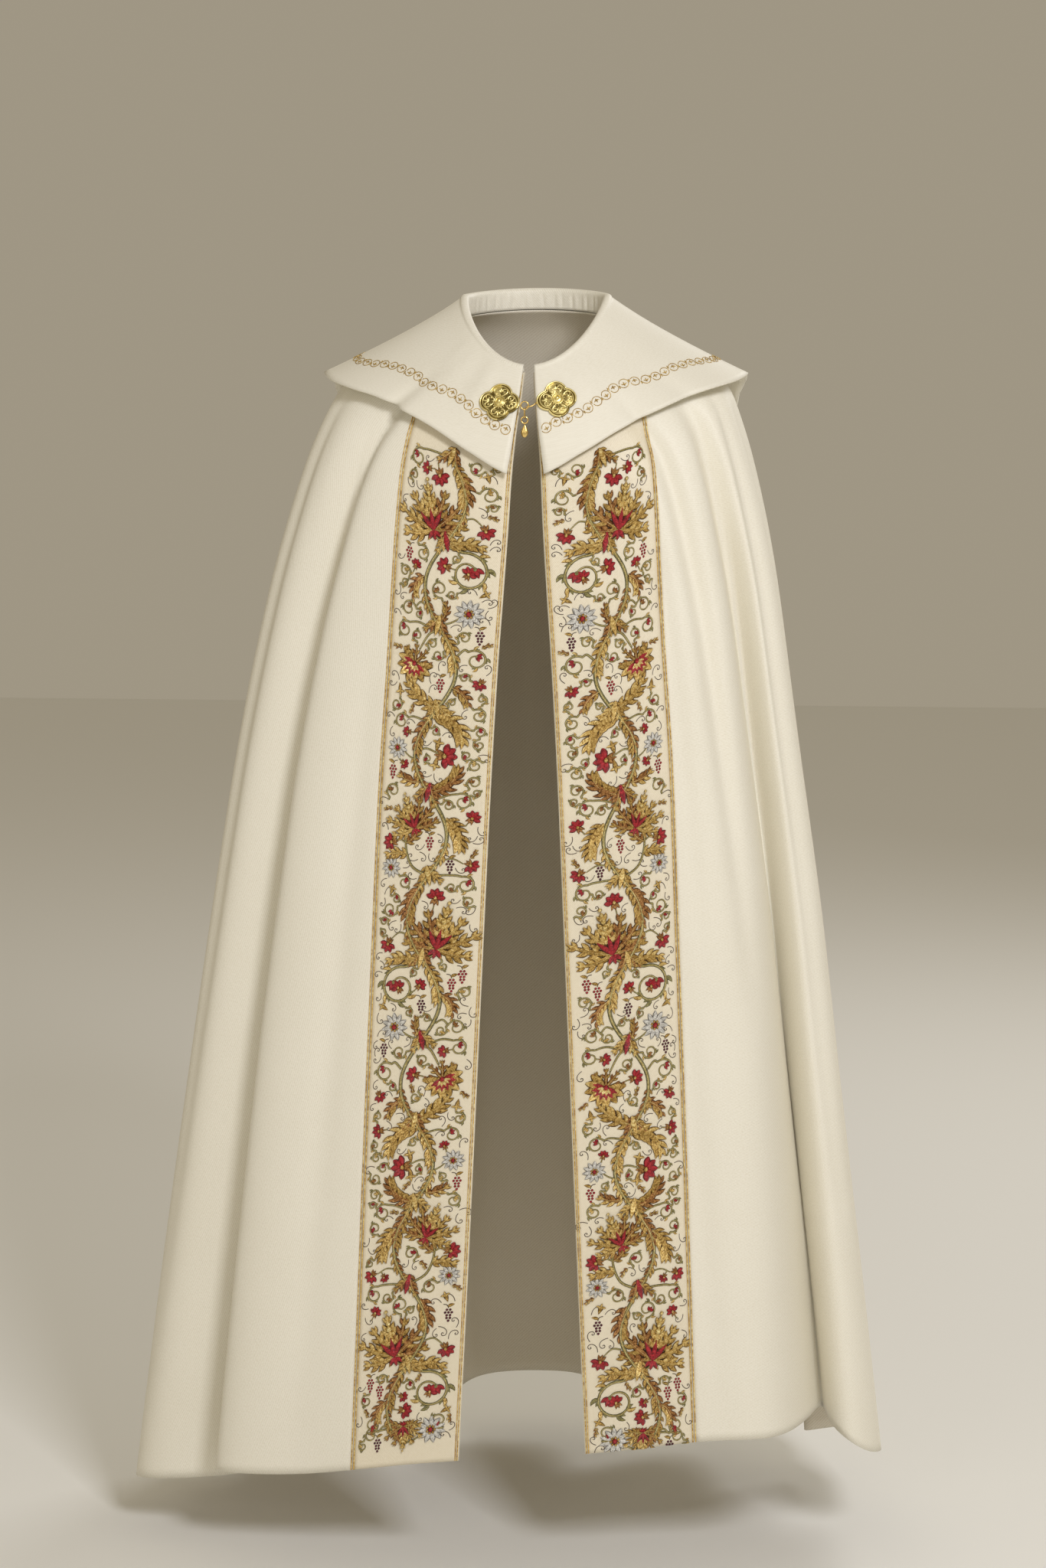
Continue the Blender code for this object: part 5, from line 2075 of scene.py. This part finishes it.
@dataclass
class Clasp:
    """The two plates, the eye with its shank, the hook and the hanging tail."""

    eye_radius: float = 0.0046
    eye_wire: float = 0.00085
    hook_wire: float = 0.0008
    end_reach: float = 0.0005
    link_radius: float = 0.0026
    link_wire: float = 0.0007
    link_longer: float = 0.0070
    ring_radius: float = 0.0039
    ring_wire: float = 0.0009
    wire_light: float = 0.6
    drop_eye: float = 0.0016
    drop_eye_wire: float = 0.0004
    drop_eye_fall: float = 0.0003
    # From the plate's tip inwards; y is counted from the middle of the eye's wire.
    hook_points: tuple[Place, ...] = (
        (0.0095, -0.0008, -0.1278),
        (0.0078, -0.0014, -0.1290),
        (0.0056, -0.0021, -0.1301),
        (0.0032, -0.0026, -0.1308),
        (0.0012, -0.0025, -0.1310),
        (-0.0001, -0.0013, -0.1310),
        (-0.0003, 0.0004, -0.1310),
        (0.0006, 0.0018, -0.1310),
        (0.0024, 0.0024, -0.1310),
    )

    def build(self) -> None:
        """Builds every piece of the clasp."""
        # Die-cast zinc alloy, gilt: bright ridges over brown recesses.
        plate_metal = MetalFinish("gilt_cast_alloy_dark_ground", "F4E4A2", "6E5B26", 0.34).make()
        wire_metal = MetalFinish("gilt_wire_polished", "F0D084", "7A5C22", 0.26).make()
        solid = bmesh.new()
        solid.from_mesh(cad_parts["collar"].data)
        collar = BVHTree.FromBMesh(solid)
        solid.free()
        for plate in (
            ClaspPlate("clasp_plate_right", -0.0322, -0.1262, -4.0, 0.0470, 0.0446, 0.00),
            ClaspPlate("clasp_plate_left", 0.0350, -0.1228, 9.0, 0.0440, 0.0440, 0.10),
        ):
            plate.build(collar, plate_metal)
        self.ring("clasp_eye", "cope", self.eye_radius, self.eye_wire, "XZ", 0.0, wire_metal)
        link = (self.link_radius, self.link_wire, "YZ", self.link_longer)
        self.ring("tail_link", "tail_link", *link, wire_metal)
        self.ring("tail_ring", "tail_drop", self.ring_radius, self.ring_wire, "XZ", 0.0, wire_metal)
        self.hook(wire_metal)
        self.shank(wire_metal)
        self.drop(wire_metal)

    def middle(self, node: str) -> Array:
        """The middle of a node's box."""
        low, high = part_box(node)
        return (np.array(low) + np.array(high)) / 2

    def finish(self, name: str, made: BMesh, body: str, metal: Material) -> None:
        """Ends a small metal piece, bright all over, in place of its node.

        Args:
            name: The node.
            made: The piece's mesh.
            body: The body it rides on.
            metal: The material.
        """
        bmesh.ops.remove_doubles(made, verts=made.verts, dist=WELD)
        bmesh.ops.recalc_face_normals(made, faces=made.faces)
        layer = made.verts.layers.float.new("relief")
        for point in made.verts:
            point[layer] = self.wire_light
        mesh = mesh_from(made, name + "_gilt")
        mesh.shade_smooth()
        piece = link_piece(mesh.name, mesh, body, [metal])
        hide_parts(name)

    def ring(
        self, name: str, body: str, radius: float, wire: float, plane: str, longer: float, metal: Material
    ) -> None:
        """A ring of wire where its node lies, its halves drawn apart by a length.

        Args:
            name: The node.
            body: The body it rides on.
            radius: Radius of the wire's middle line.
            wire: Radius of the wire.
            plane: XZ, facing the front, or YZ, edge on.
            longer: How far its halves are drawn apart.
            metal: The material.
        """
        turn = np.linspace(0, math.tau, 49)
        flat, up = np.cos(turn) * radius, np.sin(turn) * radius
        up = up + np.where(np.sin(turn) >= -1e-9, longer / 2, -longer / 2)
        middle = self.middle(name)
        zero = np.zeros_like(turn)
        path = middle + (np.stack((flat, zero, up), -1) if plane == "XZ" else np.stack((zero, flat, up), -1))
        made = bmesh.new()
        across = BACK if plane == "XZ" else LEFT
        tube(made, path, wire, 12, across, closed=True)
        self.finish(name, made, body, metal)

    def ends(self, node: str) -> tuple[Array, Array]:
        """The middles of a bent wire's two ends, the one nearer the wearer's right first."""
        co, reach = point_places(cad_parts[node].data), self.end_reach
        return tuple(co[hand * co[:, 0] > (hand * co[:, 0]).max() - reach].mean(axis=0) for hand in (-1, 1))

    def hook(self, metal: Material) -> None:
        """The hook: a round wire from the left plate's tip, in front of the eye's wire and through it.

        Args:
            metal: The material.
        """
        start = self.ends("clasp_hook")[1]
        rows = np.array(self.hook_points) + (0.0, self.middle("clasp_eye")[1], 0.0)
        points = np.concatenate((start[None], rows))
        path = along(points, np.linspace(0, len(points) - 1, 64))
        self.round_wire("clasp_hook", path, self.hook_wire, metal)

    def shank(self, metal: Material) -> None:
        """The straight shank from the right plate's tip to the eye."""
        path = np.linspace(*self.ends("eye_shank"), 8)
        self.round_wire("eye_shank", path, self.eye_wire, metal)

    def round_wire(self, name: str, path: Array, radius: float, metal: Material) -> None:
        """A round wire with closed ends along a path, in place of its node.

        Args:
            name: The node.
            path: The wire's middle line.
            radius: Its radius.
            metal: The material.
        """
        made = bmesh.new()
        tube(made, path, radius, 12, UP)
        close_tubes(made)
        self.finish(name, made, "cope", metal)

    def drop(self, metal: Material) -> None:
        """The solid drop at the end of the tail, with a ridge down its face.

        Args:
            metal: The material.
        """
        low, high = (np.array(corner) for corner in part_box("tail_drop"))
        middle, size = (low + high) / 2, high - low
        made = bmesh.new()
        bmesh.ops.create_uvsphere(made, u_segments=32, v_segments=20, radius=0.5)
        for point in made.verts:
            down = 0.5 - point.co.z
            slim = 0.5 + 0.5 * min(1.0, down / 0.6) ** 1.2
            ridge = 1.0 + 0.10 * math.cos(6 * math.atan2(point.co.y, point.co.x))
            point.co = (
                middle[0] + point.co.x * size[0] * slim * 1.02,
                middle[1] + point.co.y * size[1] * slim * ridge,
                high[2] - size[2] * down,
            )
        # Its eye passes round the ring's wire and runs down into the drop.
        turn = np.linspace(0, math.tau, 33)
        wire_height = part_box("tail_ring")[0][2] + self.ring_wire
        eye = np.stack((np.zeros_like(turn), np.cos(turn), np.sin(turn)), -1) * self.drop_eye
        eye += (middle[0], middle[1], wire_height - self.drop_eye_fall)
        tube(made, eye, self.drop_eye_wire, 8, LEFT, closed=True)
        self.finish("tail_drop", made, "tail_drop", metal)


@dataclass
class Studio:
    """The floor, the lights and the camera."""

    floor_height: float = -1.535
    floor_half: float = 9.0
    air: float = 0.42
    lens: float = 74.88
    camera_at: Place = (0.3292, -3.9460, -0.0373)
    target: Place = (-0.0160, 0.0, -0.5940)
    lit_point: Place = (0.0, 0.0, -0.6)

    def build(self) -> None:
        """Builds the studio."""
        self.floor()
        bpy.context.scene.view_settings.view_transform = "Standard"
        self.light("key_light", (1.7, -3.5, 1.8), 1.0, 104.0, "FBFBFF")
        self.light("front_light", (-1.6, -4.1, 0.4), 1.6, 22.0, "FFFBF2")
        self.light("back_light", (1.8, 2.8, 1.5), 1.8, 40.0, "FFFFFF")
        world = bpy.data.worlds.new("studio_air")
        world.use_nodes = True
        feed(world.node_tree.nodes["Background"], {"Color": linear("EBDEC4"), "Strength": self.air})
        bpy.context.scene.world = world
        camera = bpy.data.objects.new("camera", bpy.data.cameras.new("camera"))
        camera.data.lens = self.lens
        camera.location = self.camera_at
        away = Vector(self.camera_at) - Vector(self.target)
        camera.rotation_euler = away.to_track_quat("Z", "Y").to_euler()
        bpy.context.scene.collection.objects.link(camera)
        bpy.context.scene.camera = camera

    def floor(self) -> None:
        """A plain pale floor, flat and level."""
        made = bmesh.new()
        bmesh.ops.create_grid(made, x_segments=1, y_segments=1, size=self.floor_half)
        bmesh.ops.translate(made, verts=made.verts, vec=(0.0, 0.0, self.floor_height))
        mesh = mesh_from(made, "studio_floor")
        floor = bpy.data.objects.new("studio_floor", mesh)
        bpy.context.scene.collection.objects.link(floor)
        paint, _, shader = new_material("pale_matt_floor")
        feed(shader, {"Base Color": linear("F1F0EC"), "Roughness": 0.85})
        mesh.materials.append(paint)

    def light(self, name: str, place: Place, size: float, power: float, colour: str) -> None:
        """A soft square light aimed at the middle of the garment.

        Args:
            name: The light's name.
            place: Where it stands.
            size: Its side, in metres.
            power: Its power, in watts.
            colour: Its colour as an sRGB hex code.
        """
        data = bpy.data.lights.new(name, "AREA")
        data.size = size
        data.energy = power
        data.color = linear(colour)[:3]
        lamp = bpy.data.objects.new(name, data)
        lamp.location = place
        aim = Vector(place) - Vector(self.lit_point)
        lamp.rotation_euler = aim.to_track_quat("Z", "Y").to_euler()
        bpy.context.scene.collection.objects.link(lamp)


def main() -> None:
    """Builds every piece in order."""
    logging.basicConfig(level=logging.INFO, format="%(name)s: %(message)s")
    drape = Drape()
    mantle = Mantle(drape).build()
    LOG.info("mantle %d faces", len(mantle.data.polygons))
    # Silk-faced satin, a little smoother and paler than the mantle's wool satin.
    band_outer = ClothFinish("ivory_band_satin_woven", "E9E0CB", "D8CCB0", 1.4, 0.46, 0.2, 0.14).make()
    lining = mantle.data.materials[1]
    bands = [FrontBand(drape, side, band_outer, lining) for side in (-1, 1)]
    for band in bands:
        band.build()
        TwistedCords(band, True, 0.00043, 0.0040, 0.0030).build()
        TwistedCords(band, False, 0.00036, 0.0036, 0.0024, 0.0028).build()
        LOG.info("band %s", band.name)
    for piece in BandEmbroidery().build(bands):
        LOG.info("%s %d faces", piece.name, len(piece.data.polygons))
    collar = CapeCollar(drape, mantle.data.materials[0])
    collar.build()
    chain = CollarChain(collar).build()
    LOG.info("collar chain %d faces", len(chain.data.polygons))
    Clasp().build()
    LOG.info("clasp")
    Studio().build()


if __name__ == "__main__":
    main()
